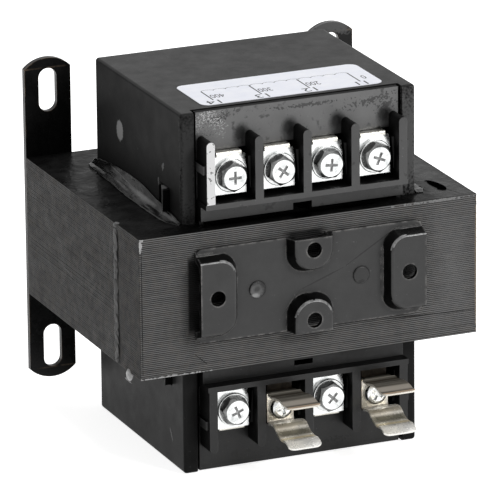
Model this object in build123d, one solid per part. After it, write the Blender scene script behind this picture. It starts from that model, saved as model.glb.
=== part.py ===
from build123d import *
import math
import os

# Control transformer: a welded core of flat iron laminations, a coil that stands out of it above
# and below, two moulded covers with screw terminals, and two slotted mounting feet.
# Millimetres, +Z up, +X to the right as seen from the terminals, which face -Y.
# The shapes are drawn about the core: x from its middle, y back from its front face and z from
# mid-stack. The last section moves them to the middle of the footprint on the ground.

# Laminations
TONGUE_WIDTH = 31.75
WINDOW_WIDTH = 15.875
OUTER_LEG_WIDTH = 15.875
WINDOW_LENGTH = 47.625
E_YOKE_DEPTH = 15.875
I_DEPTH = 15.875
STACK_HEIGHT = 38.1
CORE_WIDTH = TONGUE_WIDTH + 2 * (WINDOW_WIDTH + OUTER_LEG_WIDTH)
CORE_DEPTH = I_DEPTH + WINDOW_LENGTH + E_YOKE_DEPTH
CORE_FACE = STACK_HEIGHT / 2

# Weld beads along the joint between the E and I laminations
BEAD_WIDTH = 4.4
BEAD_PROUD = 0.8

# Mounting feet
FOOT_WIDTH = 13.1
FOOT_THICKNESS = 1.6
FOOT_LENGTH = 89.4
FOOT_RAISE = 1.3
FOOT_END_RISE = 2.75
SLOT_WIDTH = 5.1
SLOT_LENGTH = 11.9
SLOT_END_MARGIN = 2.9
FOOT_WELD_LENGTH = 7.0
FOOT_WELD_LEG = 1.8
FOOT_WELD_MARGIN = 1.2

# Front plate with four open bosses
PLATE_WIDTH = 63.5
PLATE_HEIGHT = 25.4
PLATE_CORNER = 2.0
SHEET_THICKNESS = 1.2
PLATE_SIDE_SHIFT = -0.65
PLATE_RAISE = 1.9
BOSS_RISE = 3.4
BOSS_TAPER = 22.0
SIDE_BOSS_LENGTH = 9.9
SIDE_BOSS_HEIGHT = 19.8
SIDE_BOSS_CORNER = 3.6
END_BOSS_WIDTH = 10.6
SIDE_HOLE_SPACING = 54.0
END_HOLE_SPACING = 19.05
BOSS_HOLE_DIAMETER = 4.1
SPOT_WELD_SPACING = 29.3
SPOT_WELD_DIAMETER = 4.8
SPOT_WELD_PROUD = 0.5

# Bobbin and windings
BOBBIN_CLEARANCE = 0.3
BOBBIN_WALL = 1.2
FLANGE_THICKNESS = 1.2
COIL_BUILD_ROOM = 13.6
COIL_END_MARGIN = 1.9
PRIMARY_BUILD = 6.0
LAYER_INSULATION = 0.6
SECONDARY_BUILD = 5.2
OUTER_WRAP = 0.5
WINDING_CORNER = 2.0

# Covers
COVER_HEIGHT = 29.8
COVER_WALL = 1.5
COVER_SIDE_OVERLAP = 1.3
COVER_BACK_OVERLAP = 1.8
COVER_FRONT_OVERHANG = 9.375
COVER_EDGE_RADIUS = 0.9
PILLAR_WIDTH = 3.85
LATCH_WINDOW_LENGTH = 7.0
LATCH_WINDOW_HEIGHT = 6.4
LATCH_WINDOW_RAISE = 1.4
LATCH_WINDOW_SETBACK = 8.0

# Terminal blocks, with heights counted from the face of the core
TERMINAL_COUNT = 4
TERMINAL_PITCH = 13.5
BARRIER_WIDTH = 2.3
BARRIER_REACH = 5.6
BARRIER_TOP = 23.1
BLOCK_SIDE_GAP = 0.7
BLOCK_FIT = 0.25
LEDGE_BOTTOM = 4.95
LEDGE_THICKNESS = 1.4
BAND_REACH = 2.0
BAND_THICKNESS = 1.6
BAND_BOTTOM = 1.0
PANEL_RECESS = 0.9
PANEL_THICKNESS = 1.8
POCKET_TOP = 18.95
POCKET_DEPTH = 5.1
POCKET_WALL = 1.5
NOTCH_WIDTH = 5.3
UPPER_NOTCH_BOTTOM = BAND_BOTTOM
UPPER_NOTCH_TOP = 2.8
LOWER_NOTCH_BOTTOM = 2.1
LOWER_NOTCH_TOP = 3.5
GUIDE_RIB_PROUD = 0.7
GUIDE_RIB_DEPTH = 2.6
GUIDE_RIB_SETBACK = 3.2
GUIDE_RIB_BOTTOM = 8.6
GUIDE_RIB_TOP = 17.2
END_RIB_PROUD = 0.8
END_RIB_BOTTOM = 14.4
END_RIB_TOP = 16.7
POST_WIDTH = 7.0
POST_BOTTOM = 8.2
ARM_THICKNESS = 1.2
CATCH_RECESS = 0.4

# Terminal tabs, clamp plates and clamp screws
TAB_WIDTH = 7.0
TAB_THICKNESS = 0.8
TAB_BOTTOM = 7.4
TAB_SLOT_CLEARANCE = 0.15
TAB_TAIL = 9.0
SCREW_HEIGHT = 12.75
SCREW_DIAMETER = 4.17
THREAD_CLEARANCE = 0.05
SCREW_FLANGE_DIAMETER = 8.9
SCREW_FLANGE_THICKNESS = 0.7
SCREW_HEX = 7.0
SCREW_HEAD_HEIGHT = 3.2
SCREW_HEAD_CHAMFER = 0.35
SCREW_REACH = 6.4
SCREW_RECESS_WIDTH = 0.95
SCREW_RECESS_LENGTH = 4.2
SCREW_RECESS_DEPTH = 1.3
POST_HOLE_CLEARANCE = 0.35
CLAMP_WIDTH = 9.0
CLAMP_HEIGHT = 10.3
CLAMP_THICKNESS = 0.85
CLAMP_CORNER_CUT = 1.6
CLAMP_HOLE_CLEARANCE = 0.12
CLAMP_TRAVEL = 3.0

# Fuse clips
FUSED_TERMINALS = (2, 4)
CLIP_HEIGHT = 14.15
CLIP_STRIP = 0.6
CLIP_WIDTH = 9.3
CLIP_BASE_WIDTH = 6.9
CLIP_BASE_HALF_HEIGHT = 4.3
CLIP_WIDENING_REACH = 4.4
CLIP_NECK_HALF_ANGLE = 30.0
CLIP_GRIP_DIAMETER = 9.8
FUSE_CENTRE_REACH = 11.35
CLIP_MOUTH_HALF_ANGLE = 62.0
CLIP_LIP_REACH = 17.6
CLIP_LIP_GAP = 11.2
CLIP_LIP_CORNER = 2.2
CLIP_SCREW_DIAMETER = 3.5
CLIP_SCREW_HEAD = 6.3
CLIP_SCREW_HEAD_HEIGHT = 2.3
CLIP_SCREW_DOME = 1.5
CLIP_SCREW_REACH = 5.0
CLIP_SCREW_RECESS_LENGTH = 3.4
CLIP_HOLE_CLEARANCE = 0.15

# Leads between the coil and the terminal tabs
LEAD_DIAMETER = 1.3
LEAD_CLEARANCE = 0.3
LEAD_END_GAP = 0.05
PRIMARY_LEAD_BUILD = 2.6
SECONDARY_LEAD_BUILD = 9.0

# Insulating film at the foot of the upper cover
FILM_THICKNESS = 0.35
FILM_HEIGHT = 4.2
FILM_SPREAD = 2.9
FILM_SHOULDER = 1.8
FILM_BEND = 1.2
FILM_FRONT_MARGIN = 0.6
FILM_BACK_MARGIN = 0.4

# Connection label on the upper cover
LABEL_WIDTH = 51.1
LABEL_DEPTH = 19.5
LABEL_CORNER = 2.4
LABEL_THICKNESS = 0.15
LABEL_SETBACK = 4.5
LABEL_SIDE_SHIFT = 0.75

# Places that follow from the sizes above
COVER_HALF_WIDTH = TONGUE_WIDTH / 2 + WINDOW_WIDTH + COVER_SIDE_OVERLAP
COVER_FRONT = I_DEPTH - COVER_FRONT_OVERHANG
COVER_BACK = I_DEPTH + WINDOW_LENGTH + COVER_BACK_OVERLAP
COVER_TOP = CORE_FACE + COVER_HEIGHT
OPENING_HALF_WIDTH = COVER_HALF_WIDTH - PILLAR_WIDTH
BLOCK_HALF_WIDTH = OPENING_HALF_WIDTH - BLOCK_SIDE_GAP
BARRIER_FRONT = COVER_FRONT - BARRIER_REACH
BAND_FRONT = COVER_FRONT - BAND_REACH
PANEL_FRONT = COVER_FRONT + PANEL_RECESS
POCKET_BACK = PANEL_FRONT + POCKET_DEPTH
LEDGE_TOP = LEDGE_BOTTOM + LEDGE_THICKNESS
SCREW_TOP = BARRIER_FRONT
SCREW_SEAT = SCREW_TOP + SCREW_HEAD_HEIGHT
TAB_FRONT = SCREW_SEAT + CLAMP_THICKNESS
TAB_BACK = TAB_FRONT + TAB_THICKNESS
TAB_TOP = POCKET_TOP - TAB_SLOT_CLEARANCE
TAB_END = POCKET_BACK + POCKET_WALL + TAB_TAIL
LATCH_FRONT = COVER_FRONT + LATCH_WINDOW_SETBACK
FOOT_CENTRE_X = (CORE_WIDTH - FOOT_WIDTH) / 2
SLOT_SPACING = FOOT_LENGTH - 2 * SLOT_END_MARGIN - SLOT_LENGTH
BOBBIN_HALF_X = TONGUE_WIDTH / 2 + BOBBIN_CLEARANCE + BOBBIN_WALL
BOBBIN_HALF_Z = CORE_FACE + BOBBIN_CLEARANCE + BOBBIN_WALL
COIL_FRONT = I_DEPTH + BOBBIN_CLEARANCE + FLANGE_THICKNESS + COIL_END_MARGIN
COIL_BACK = I_DEPTH + WINDOW_LENGTH - BOBBIN_CLEARANCE - FLANGE_THICKNESS - COIL_END_MARGIN
COIL_BUILD = PRIMARY_BUILD + LAYER_INSULATION + SECONDARY_BUILD + OUTER_WRAP
CLIP_BASE_FRONT = TAB_FRONT - CLIP_STRIP
ARM_OUTSIDE = COVER_HALF_WIDTH - COVER_WALL - BLOCK_FIT
FLANGE_HALF_X = ARM_OUTSIDE - ARM_THICKNESS - BOBBIN_CLEARANCE
LEAD_CENTRE_Y = COIL_FRONT - LEAD_DIAMETER / 2 - LEAD_CLEARANCE

# The footprint runs from the lips of the fuse clips to the back of the feet
FRONT_END = TAB_FRONT - CLIP_LIP_REACH
BACK_END = CORE_DEPTH + FOOT_THICKNESS
GROUND = CORE_FACE + COVER_HEIGHT
TO_FOOTPRINT = Pos(0, -(FRONT_END + BACK_END) / 2, GROUND)

os.makedirs("parts", exist_ok=True)


def save(name, shape):
    """Move a piece from the core's frame to the ground frame and write it."""
    export_step(TO_FOOTPRINT * shape, os.path.join("parts", name + ".step"))


def block(x_low, x_high, y_low, y_high, z_low, z_high):
    """A plain block between two opposite corners."""
    middle = Pos((x_low + x_high) / 2, (y_low + y_high) / 2, (z_low + z_high) / 2)
    return middle * Box(x_high - x_low, y_high - y_low, z_high - z_low)


def sheet(outline, y_front, y_back, taper=0.0):
    """An outline in X and Z, drawn out from y_back forward to y_front."""
    return extrude(Plane.XZ.offset(-y_back) * outline, amount=y_back - y_front, taper=taper)


def pin(x, z, diameter, y_front, y_back):
    """A round pin or hole along Y."""
    return sheet(Pos(x, z) * Circle(diameter / 2), y_front, y_back)


def terminal_x(number):
    """Middle of a terminal, counted from 1 at the left."""
    return (number - (TERMINAL_COUNT + 1) / 2) * TERMINAL_PITCH


def barrier_x(number):
    """Middle of a barrier, counted from 1 at the left."""
    return (number - 1 - TERMINAL_COUNT / 2) * TERMINAL_PITCH


def joined(pieces):
    """Several solids that lie apart, in one group."""
    return Part() + list(pieces)


# Laminations

def e_laminations():
    """E-shaped sheets, stacked: a yoke at the back and three legs towards the front."""
    outline = block(-CORE_WIDTH / 2, CORE_WIDTH / 2, I_DEPTH, CORE_DEPTH, -CORE_FACE, CORE_FACE)
    for side in (-1, 1):
        inner = side * TONGUE_WIDTH / 2
        outer = side * (TONGUE_WIDTH / 2 + WINDOW_WIDTH)
        window = block(min(inner, outer), max(inner, outer), I_DEPTH, I_DEPTH + WINDOW_LENGTH,
                       -CORE_FACE, CORE_FACE)
        outline -= window
    return outline


def i_laminations():
    """Straight sheets, stacked, that close the legs at the front."""
    return block(-CORE_WIDTH / 2, CORE_WIDTH / 2, 0, I_DEPTH, -CORE_FACE, CORE_FACE)


def weld_bead(side):
    """A bead down the whole stack, on the joint of the E and I sheets."""
    radius = (BEAD_WIDTH ** 2 / 4 + BEAD_PROUD ** 2) / (2 * BEAD_PROUD)
    surface = side * CORE_WIDTH / 2
    round_bar = Pos(surface - side * (radius - BEAD_PROUD), I_DEPTH, 0)
    bar = round_bar * Cylinder(radius, STACK_HEIGHT)
    outside = block(min(surface, surface + side * BEAD_PROUD), max(surface, surface + side * BEAD_PROUD),
                    I_DEPTH - BEAD_WIDTH, I_DEPTH + BEAD_WIDTH, -CORE_FACE, CORE_FACE)
    return bar & outside


save("e_lamination_stack", e_laminations())
save("i_lamination_stack", i_laminations())
save("core_weld_beads", joined([weld_bead(-1), weld_bead(1)]))


# Mounting feet

def foot(side):
    """A flat strip on the back of the core with a bowed end and a slot above and below."""
    half = FOOT_WIDTH / 2
    end = FOOT_LENGTH / 2
    shoulder = end - FOOT_END_RISE
    edges = [
        Line((-half, -shoulder), (-half, shoulder)),
        ThreePointArc((-half, shoulder), (0, end), (half, shoulder)),
        Line((half, shoulder), (half, -shoulder)),
        ThreePointArc((half, -shoulder), (0, -end), (-half, -shoulder)),
    ]
    outline = make_face(edges)
    upright_slot = Rot(0, 0, 90) * SlotOverall(SLOT_LENGTH, SLOT_WIDTH)
    for end_sign in (-1, 1):
        outline -= Pos(0, end_sign * SLOT_SPACING / 2) * upright_slot
    return sheet(Pos(side * FOOT_CENTRE_X, FOOT_RAISE) * outline, CORE_DEPTH, CORE_DEPTH + FOOT_THICKNESS)


def foot_weld(side, end_sign):
    """A short fillet weld between the inner edge of a foot and the back of the core."""
    edge = FOOT_CENTRE_X - FOOT_WIDTH / 2
    corner = make_face(Polyline((edge, CORE_DEPTH), (edge - FOOT_WELD_LEG, CORE_DEPTH),
                                (edge, CORE_DEPTH + FOOT_THICKNESS), (edge, CORE_DEPTH)))
    low = CORE_FACE - FOOT_WELD_MARGIN - FOOT_WELD_LENGTH
    weld = extrude(Pos(0, 0, low) * corner, amount=FOOT_WELD_LENGTH)
    if side < 0:
        weld = mirror(weld, about=Plane.YZ)
    if end_sign < 0:
        weld = mirror(weld, about=Plane.XY)
    return weld


save("left_mounting_foot", foot(-1))
save("right_mounting_foot", foot(1))
save("foot_welds", joined([foot_weld(side, end_sign) for side in (-1, 1) for end_sign in (-1, 1)]))


# Front plate

def boss_pair(outline):
    """The outside and the hollow of a pressed boss, from the outline of its flat face."""
    spread = BOSS_RISE * math.tan(math.radians(BOSS_TAPER))
    base = offset(outline, spread)
    outside = sheet(base, -SHEET_THICKNESS - BOSS_RISE, -SHEET_THICKNESS, taper=BOSS_TAPER)
    inside = sheet(offset(base, -SHEET_THICKNESS), -BOSS_RISE, 0, taper=BOSS_TAPER)
    return outside, inside


def front_plate():
    """A thin plate with a boss raised at each side and at the top and bottom."""
    half_width = PLATE_WIDTH / 2
    half_height = PLATE_HEIGHT / 2
    plate = sheet(RectangleRounded(PLATE_WIDTH, PLATE_HEIGHT, PLATE_CORNER), -SHEET_THICKNESS, 0)
    room = block(-half_width, half_width, -SHEET_THICKNESS - BOSS_RISE, 0, -half_height, half_height)
    outlines = []
    for side in (-1, 1):
        middle = side * half_width
        outlines.append(Pos(middle, 0) * RectangleRounded(2 * SIDE_BOSS_LENGTH, SIDE_BOSS_HEIGHT,
                                                         SIDE_BOSS_CORNER))
        centre = side * END_HOLE_SPACING / 2
        stretch = 2 * (half_height - abs(centre))
        upright = Rot(0, 0, 90) * SlotCenterToCenter(stretch + END_BOSS_WIDTH, END_BOSS_WIDTH)
        outlines.append(Pos(0, centre + side * (stretch + END_BOSS_WIDTH) / 2) * upright)
    for outline in outlines:
        outside, inside = boss_pair(outline)
        plate += outside & room
        plate -= inside & room
    for side in (-1, 1):
        plate -= pin(side * SIDE_HOLE_SPACING / 2, 0, BOSS_HOLE_DIAMETER, -2 * BOSS_RISE, 0)
        plate -= pin(0, side * END_HOLE_SPACING / 2, BOSS_HOLE_DIAMETER, -2 * BOSS_RISE, 0)
        plate -= pin(side * SPOT_WELD_SPACING / 2, 0, SPOT_WELD_DIAMETER, -SHEET_THICKNESS, 0)
    return Pos(PLATE_SIDE_SHIFT, 0, PLATE_RAISE) * plate


def spot_weld(side):
    """A plug weld through the front plate."""
    x = PLATE_SIDE_SHIFT + side * SPOT_WELD_SPACING / 2
    plug = pin(x, PLATE_RAISE, SPOT_WELD_DIAMETER, -SHEET_THICKNESS - SPOT_WELD_PROUD, 0)
    rim = plug.edges().filter_by(GeomType.CIRCLE).sort_by(Axis.Y)[0]
    return fillet(rim, SPOT_WELD_PROUD * 0.8)


save("front_plate", front_plate())
save("plate_plug_welds", joined([spot_weld(-1), spot_weld(1)]))


# Bobbin and windings

def bobbin():
    """A square tube on the tongue with a flange at each end."""
    front = I_DEPTH + BOBBIN_CLEARANCE
    back = I_DEPTH + WINDOW_LENGTH - BOBBIN_CLEARANCE
    bore = Rectangle(2 * (BOBBIN_HALF_X - BOBBIN_WALL), 2 * (BOBBIN_HALF_Z - BOBBIN_WALL))
    tube = Rectangle(2 * BOBBIN_HALF_X, 2 * BOBBIN_HALF_Z)
    flange = Rectangle(2 * FLANGE_HALF_X, 2 * (BOBBIN_HALF_Z + COIL_BUILD_ROOM))
    body = sheet(tube - bore, front, back)
    body += sheet(flange - bore, front, front + FLANGE_THICKNESS)
    body += sheet(flange - bore, back - FLANGE_THICKNESS, back)
    return body


def layer(inside, build):
    """A layer of the coil that starts a given build above the bobbin's tube."""
    outer = RectangleRounded(2 * (BOBBIN_HALF_X + inside + build), 2 * (BOBBIN_HALF_Z + inside + build),
                             WINDING_CORNER + inside + build)
    if inside > 0:
        inner = RectangleRounded(2 * (BOBBIN_HALF_X + inside), 2 * (BOBBIN_HALF_Z + inside),
                                 WINDING_CORNER + inside)
    else:
        inner = Rectangle(2 * BOBBIN_HALF_X, 2 * BOBBIN_HALF_Z)
    return sheet(outer - inner, COIL_FRONT, COIL_BACK)


save("bobbin", bobbin())
save("primary_winding", layer(0, PRIMARY_BUILD))
save("layer_insulation", layer(PRIMARY_BUILD, LAYER_INSULATION))
save("secondary_winding", layer(PRIMARY_BUILD + LAYER_INSULATION, SECONDARY_BUILD))
save("coil_wrap", layer(COIL_BUILD - OUTER_WRAP, OUTER_WRAP))


# Covers

def latch_window(side, proud):
    """The space of a latch window in a side wall, and a little beyond it."""
    wall_in = side * (COVER_HALF_WIDTH - COVER_WALL)
    wall_out = side * (COVER_HALF_WIDTH + proud)
    low = CORE_FACE + LATCH_WINDOW_RAISE
    return block(min(wall_in, wall_out), max(wall_in, wall_out), LATCH_FRONT,
                 LATCH_FRONT + LATCH_WINDOW_LENGTH, low, low + LATCH_WINDOW_HEIGHT)


def upper_cover():
    """A box over the coil, open towards the core and at the front between two pillars."""
    shell = block(-COVER_HALF_WIDTH, COVER_HALF_WIDTH, COVER_FRONT, COVER_BACK, CORE_FACE, COVER_TOP)
    resting = shell.faces().sort_by(Axis.Z)[0].edges()
    shell = fillet([edge for edge in shell.edges() if edge not in resting], COVER_EDGE_RADIUS)
    inner_half = COVER_HALF_WIDTH - COVER_WALL
    shell -= block(-inner_half, inner_half, COVER_FRONT + COVER_WALL, COVER_BACK - COVER_WALL,
                   CORE_FACE, COVER_TOP - COVER_WALL)
    panel_room = PANEL_FRONT + PANEL_THICKNESS + BLOCK_FIT
    shell -= block(-OPENING_HALF_WIDTH, OPENING_HALF_WIDTH, COVER_FRONT, panel_room, CORE_FACE, COVER_TOP)
    for side in (-1, 1):
        shell -= latch_window(side, COVER_WALL)
    return shell


UPPER_COVER = upper_cover()
save("upper_cover", UPPER_COVER)
save("lower_cover", mirror(UPPER_COVER, about=Plane.XY))


# Terminal blocks

def above(height):
    """A height counted from the core's upper face, as a place from mid-stack."""
    return CORE_FACE + height


def barrier(number):
    """An upright wall between two terminals, with a round top and a rib on each side."""
    x = barrier_x(number)
    half = BARRIER_WIDTH / 2
    straight = sheet(Pos(x, (above(LEDGE_TOP) + above(BARRIER_TOP) - half) / 2)
                     * Rectangle(BARRIER_WIDTH, BARRIER_TOP - half - LEDGE_TOP), BARRIER_FRONT, PANEL_FRONT)
    wall = straight + pin(x, above(BARRIER_TOP) - half, BARRIER_WIDTH, BARRIER_FRONT, PANEL_FRONT)
    wall += block(x - half, x + half, PANEL_FRONT, POCKET_BACK, above(LEDGE_TOP), above(POCKET_TOP))
    first = number == 1
    last = number == TERMINAL_COUNT + 1
    rib_front = BARRIER_FRONT + GUIDE_RIB_SETBACK
    for side in (-1, 1):
        face = x + side * half
        if (first and side < 0) or (last and side > 0):
            tip = x + side * (half + END_RIB_PROUD)
            wall += block(min(face, tip), max(face, tip), BARRIER_FRONT + END_RIB_PROUD, PANEL_FRONT,
                          above(END_RIB_BOTTOM), above(END_RIB_TOP))
        else:
            tip = x + side * (half + GUIDE_RIB_PROUD)
            wall += block(min(face, tip), max(face, tip), rib_front, rib_front + GUIDE_RIB_DEPTH,
                          above(GUIDE_RIB_BOTTOM), above(GUIDE_RIB_TOP))
    return wall


def catch(side):
    """A side arm behind a pillar, with a catch that snaps into the cover's latch window."""
    low = above(LATCH_WINDOW_RAISE + BLOCK_FIT)
    high = low + LATCH_WINDOW_HEIGHT - 2 * BLOCK_FIT
    behind = COVER_FRONT + COVER_WALL + BLOCK_FIT
    end = LATCH_FRONT + LATCH_WINDOW_LENGTH - BLOCK_FIT
    arm = block(ARM_OUTSIDE - ARM_THICKNESS, ARM_OUTSIDE, behind, end, low, high)
    arm += block(BLOCK_HALF_WIDTH - ARM_THICKNESS, ARM_OUTSIDE, behind, behind + ARM_THICKNESS, low, high)
    arm += block(ARM_OUTSIDE, COVER_HALF_WIDTH - CATCH_RECESS, LATCH_FRONT + BLOCK_FIT, end, low, high)
    if side < 0:
        arm = mirror(arm, about=Plane.YZ)
    return arm


def terminal_block(notch_bottom, notch_top, screws):
    """One moulding: a panel, a ledge, a band, barriers and a post behind each terminal."""
    half = BLOCK_HALF_WIDTH
    wall_back = POCKET_BACK + POCKET_WALL
    slot_bottom = above(TAB_TOP) - TAB_THICKNESS - TAB_SLOT_CLEARANCE
    body = block(-half, half, PANEL_FRONT, PANEL_FRONT + PANEL_THICKNESS, above(POCKET_TOP),
                 COVER_TOP - BLOCK_FIT)
    body += block(-half, half, PANEL_FRONT, wall_back, above(POCKET_TOP), above(POCKET_TOP) + POCKET_WALL)
    body += block(-half, half, POCKET_BACK, wall_back, above(LEDGE_BOTTOM), above(POCKET_TOP))
    body += block(-half, half, BARRIER_FRONT, wall_back, above(LEDGE_BOTTOM), above(LEDGE_TOP))
    body += block(-half, half, BAND_FRONT, BAND_FRONT + BAND_THICKNESS, above(BAND_BOTTOM),
                  above(LEDGE_BOTTOM))
    for number in range(1, TERMINAL_COUNT + 2):
        body += barrier(number)
    for side in (-1, 1):
        edge = side * half
        inner = side * (barrier_x(TERMINAL_COUNT + 1) + BARRIER_WIDTH / 2)
        body += block(min(inner, edge), max(inner, edge), PANEL_FRONT, POCKET_BACK, above(LEDGE_TOP),
                      above(POCKET_TOP))
        body += catch(side)
        leg = side * (half - ARM_THICKNESS)
        body += block(min(leg, edge), max(leg, edge), BAND_FRONT + BAND_THICKNESS, POCKET_BACK,
                      CORE_FACE, above(LEDGE_BOTTOM))
    body -= block(-NOTCH_WIDTH / 2, NOTCH_WIDTH / 2, BAND_FRONT, BAND_FRONT + BAND_THICKNESS,
                  above(notch_bottom), above(notch_top))
    for number, (diameter, height) in enumerate(screws, start=1):
        x = terminal_x(number)
        body += block(x - POST_WIDTH / 2, x + POST_WIDTH / 2, TAB_BACK, POCKET_BACK, above(POST_BOTTOM),
                      slot_bottom)
        slot_half = TAB_WIDTH / 2 + TAB_SLOT_CLEARANCE
        body -= block(x - slot_half, x + slot_half, POCKET_BACK, wall_back, slot_bottom, above(POCKET_TOP))
        body -= pin(x, above(height), diameter + 2 * POST_HOLE_CLEARANCE, TAB_BACK, wall_back)
    return body


def turned_over(shape):
    """The same moulding turned half a turn about Y, for the lower side of the core."""
    return Rot(0, 180, 0) * shape


CLAMP_SCREW = (SCREW_DIAMETER, SCREW_HEIGHT)
CLIP_SCREW = (CLIP_SCREW_DIAMETER, CLIP_HEIGHT)
UPPER_SCREWS = [CLAMP_SCREW] * TERMINAL_COUNT
LOWER_SCREWS = [CLIP_SCREW if number in FUSED_TERMINALS else CLAMP_SCREW
                for number in range(1, TERMINAL_COUNT + 1)]
save("upper_terminal_block", terminal_block(UPPER_NOTCH_BOTTOM, UPPER_NOTCH_TOP, UPPER_SCREWS))
save("lower_terminal_block",
     turned_over(terminal_block(LOWER_NOTCH_BOTTOM, LOWER_NOTCH_TOP, LOWER_SCREWS[::-1])))


# Terminal tabs

def tab(x, screw):
    """A strip bent over the top of the post: it faces the clamp plate and runs back to the coil."""
    half = TAB_WIDTH / 2
    diameter, height = screw
    strip = block(x - half, x + half, TAB_FRONT, TAB_BACK, above(TAB_BOTTOM), above(TAB_TOP))
    strip += block(x - half, x + half, TAB_FRONT, TAB_END, above(TAB_TOP) - TAB_THICKNESS, above(TAB_TOP))
    bend = [edge for edge in strip.edges().filter_by(Axis.X)
            if abs(edge.center().Y - TAB_FRONT) < 0.01 and abs(edge.center().Z - above(TAB_TOP)) < 0.01]
    strip = fillet(bend, TAB_THICKNESS * 0.7)
    return strip - pin(x, above(height), diameter + 2 * THREAD_CLEARANCE, TAB_FRONT, TAB_BACK)


for number in range(1, TERMINAL_COUNT + 1):
    save("primary_tab_%d" % number, tab(terminal_x(number), UPPER_SCREWS[number - 1]))
    save("secondary_tab_%d" % number, turned_over(tab(-terminal_x(number), LOWER_SCREWS[number - 1])))


# Clamp plates and clamp screws

def clamp_plate(x):
    """A square pressure plate with one corner cut, held loosely under the screw's flange."""
    half_width = CLAMP_WIDTH / 2
    half_height = CLAMP_HEIGHT / 2
    outline = make_face(Polyline((-half_width, -half_height), (half_width, -half_height),
                                 (half_width, half_height - CLAMP_CORNER_CUT),
                                 (half_width - CLAMP_CORNER_CUT, half_height),
                                 (-half_width, half_height), (-half_width, -half_height)))
    outline -= Circle(SCREW_DIAMETER / 2 + CLAMP_HOLE_CLEARANCE)
    return sheet(Pos(x, above(SCREW_HEIGHT)) * outline, SCREW_SEAT, TAB_FRONT)


def cross_recess(x, z, length, y_top):
    """A cross-shaped recess in a screw head."""
    half_long = length / 2
    half_short = SCREW_RECESS_WIDTH / 2
    floor = y_top + SCREW_RECESS_DEPTH
    level = block(x - half_long, x + half_long, y_top, floor, z - half_short, z + half_short)
    upright = block(x - half_short, x + half_short, y_top, floor, z - half_long, z + half_long)
    return level + upright


def clamp_screw(x):
    """A hexagon head with a washer flange, a cross recess and a plain shank."""
    z = above(SCREW_HEIGHT)
    flange_front = SCREW_SEAT - SCREW_FLANGE_THICKNESS
    hexagon = RegularPolygon(SCREW_HEX / 2, 6, major_radius=False)
    head = sheet(Pos(x, z) * hexagon, SCREW_TOP, flange_front)
    head_height = flange_front - SCREW_TOP
    top_radius = SCREW_HEX / 2 - SCREW_HEAD_CHAMFER
    corner_cutter = Plane(origin=(x, SCREW_TOP + head_height / 2, z), z_dir=(0, 1, 0))
    head &= corner_cutter * Cone(top_radius, top_radius + 2 * head_height, head_height)
    head += pin(x, z, SCREW_FLANGE_DIAMETER, flange_front, SCREW_SEAT)
    head -= cross_recess(x, z, SCREW_RECESS_LENGTH, SCREW_TOP)
    return head + pin(x, z, SCREW_DIAMETER, SCREW_SEAT, SCREW_SEAT + SCREW_REACH)


DOWN_TO_LOWER_ROW = Pos(0, 0, -2 * above(SCREW_HEIGHT))
for number in range(1, TERMINAL_COUNT + 1):
    plate = clamp_plate(terminal_x(number))
    screw = clamp_screw(terminal_x(number))
    save("primary_clamp_plate_%d" % number, plate)
    save("primary_clamp_screw_%d" % number, screw)
    if number not in FUSED_TERMINALS:
        save("secondary_clamp_plate_%d" % number, DOWN_TO_LOWER_ROW * plate)
        save("secondary_clamp_screw_%d" % number, DOWN_TO_LOWER_ROW * screw)


# Fuse clips

def clip_arm():
    """Middle line of one arm: reach from the tab, and height from the clip's middle."""
    radius = (CLIP_GRIP_DIAMETER + CLIP_STRIP) / 2
    neck_angle = math.radians(180 - CLIP_NECK_HALF_ANGLE)
    mouth_angle = math.radians(CLIP_MOUTH_HALF_ANGLE)
    top_angle = (neck_angle + mouth_angle) / 2
    neck, top, mouth = [(FUSE_CENTRE_REACH + radius * math.cos(angle), radius * math.sin(angle))
                        for angle in (neck_angle, top_angle, mouth_angle)]
    base = (CLIP_STRIP / 2, CLIP_BASE_HALF_HEIGHT - CLIP_STRIP / 2)
    lip = (CLIP_LIP_REACH, CLIP_LIP_GAP / 2)
    return base, neck, top, mouth, lip


def fuse_clip(x):
    """A spring strip bent into a base and two arms that grip a fuse cap from above and below."""
    base, neck, top, mouth, lip = clip_arm()
    foot = (base[0], -base[1])
    half_path = [Line(base, neck), ThreePointArc(neck, top, mouth), Line(mouth, lip)]
    path = Line(foot, base) + half_path + [mirror(edge, about=Plane.XZ) for edge in half_path]
    profile = trace(path, CLIP_STRIP)
    z = -above(CLIP_HEIGHT)
    side_view = Plane(origin=(x - CLIP_WIDTH / 2, TAB_FRONT, z), x_dir=(0, -1, 0), z_dir=(-1, 0, 0))
    clip = extrude(side_view * profile, amount=-CLIP_WIDTH)
    narrowing = (CLIP_WIDTH - CLIP_BASE_WIDTH) / 2
    tall = 2 * CLIP_LIP_GAP
    for side in (-1, 1):
        edge = x + side * CLIP_WIDTH / 2
        inner = edge - side * narrowing
        clip -= block(min(edge, inner), max(edge, inner), TAB_FRONT - CLIP_WIDENING_REACH, TAB_FRONT,
                      z - tall, z + tall)
    clip -= pin(x, z, CLIP_SCREW_DIAMETER + 2 * CLIP_HOLE_CLEARANCE, CLIP_BASE_FRONT, TAB_FRONT)
    lip_corners = [edge for edge in clip.edges().filter_by(GeomType.LINE)
                   if edge.center().Y < TAB_FRONT - CLIP_LIP_REACH + CLIP_STRIP
                   and abs(edge.length - CLIP_STRIP) < 0.01
                   and abs(abs(edge.center().X - x) - CLIP_WIDTH / 2) < 0.01]
    return fillet(lip_corners, CLIP_LIP_CORNER)


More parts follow.
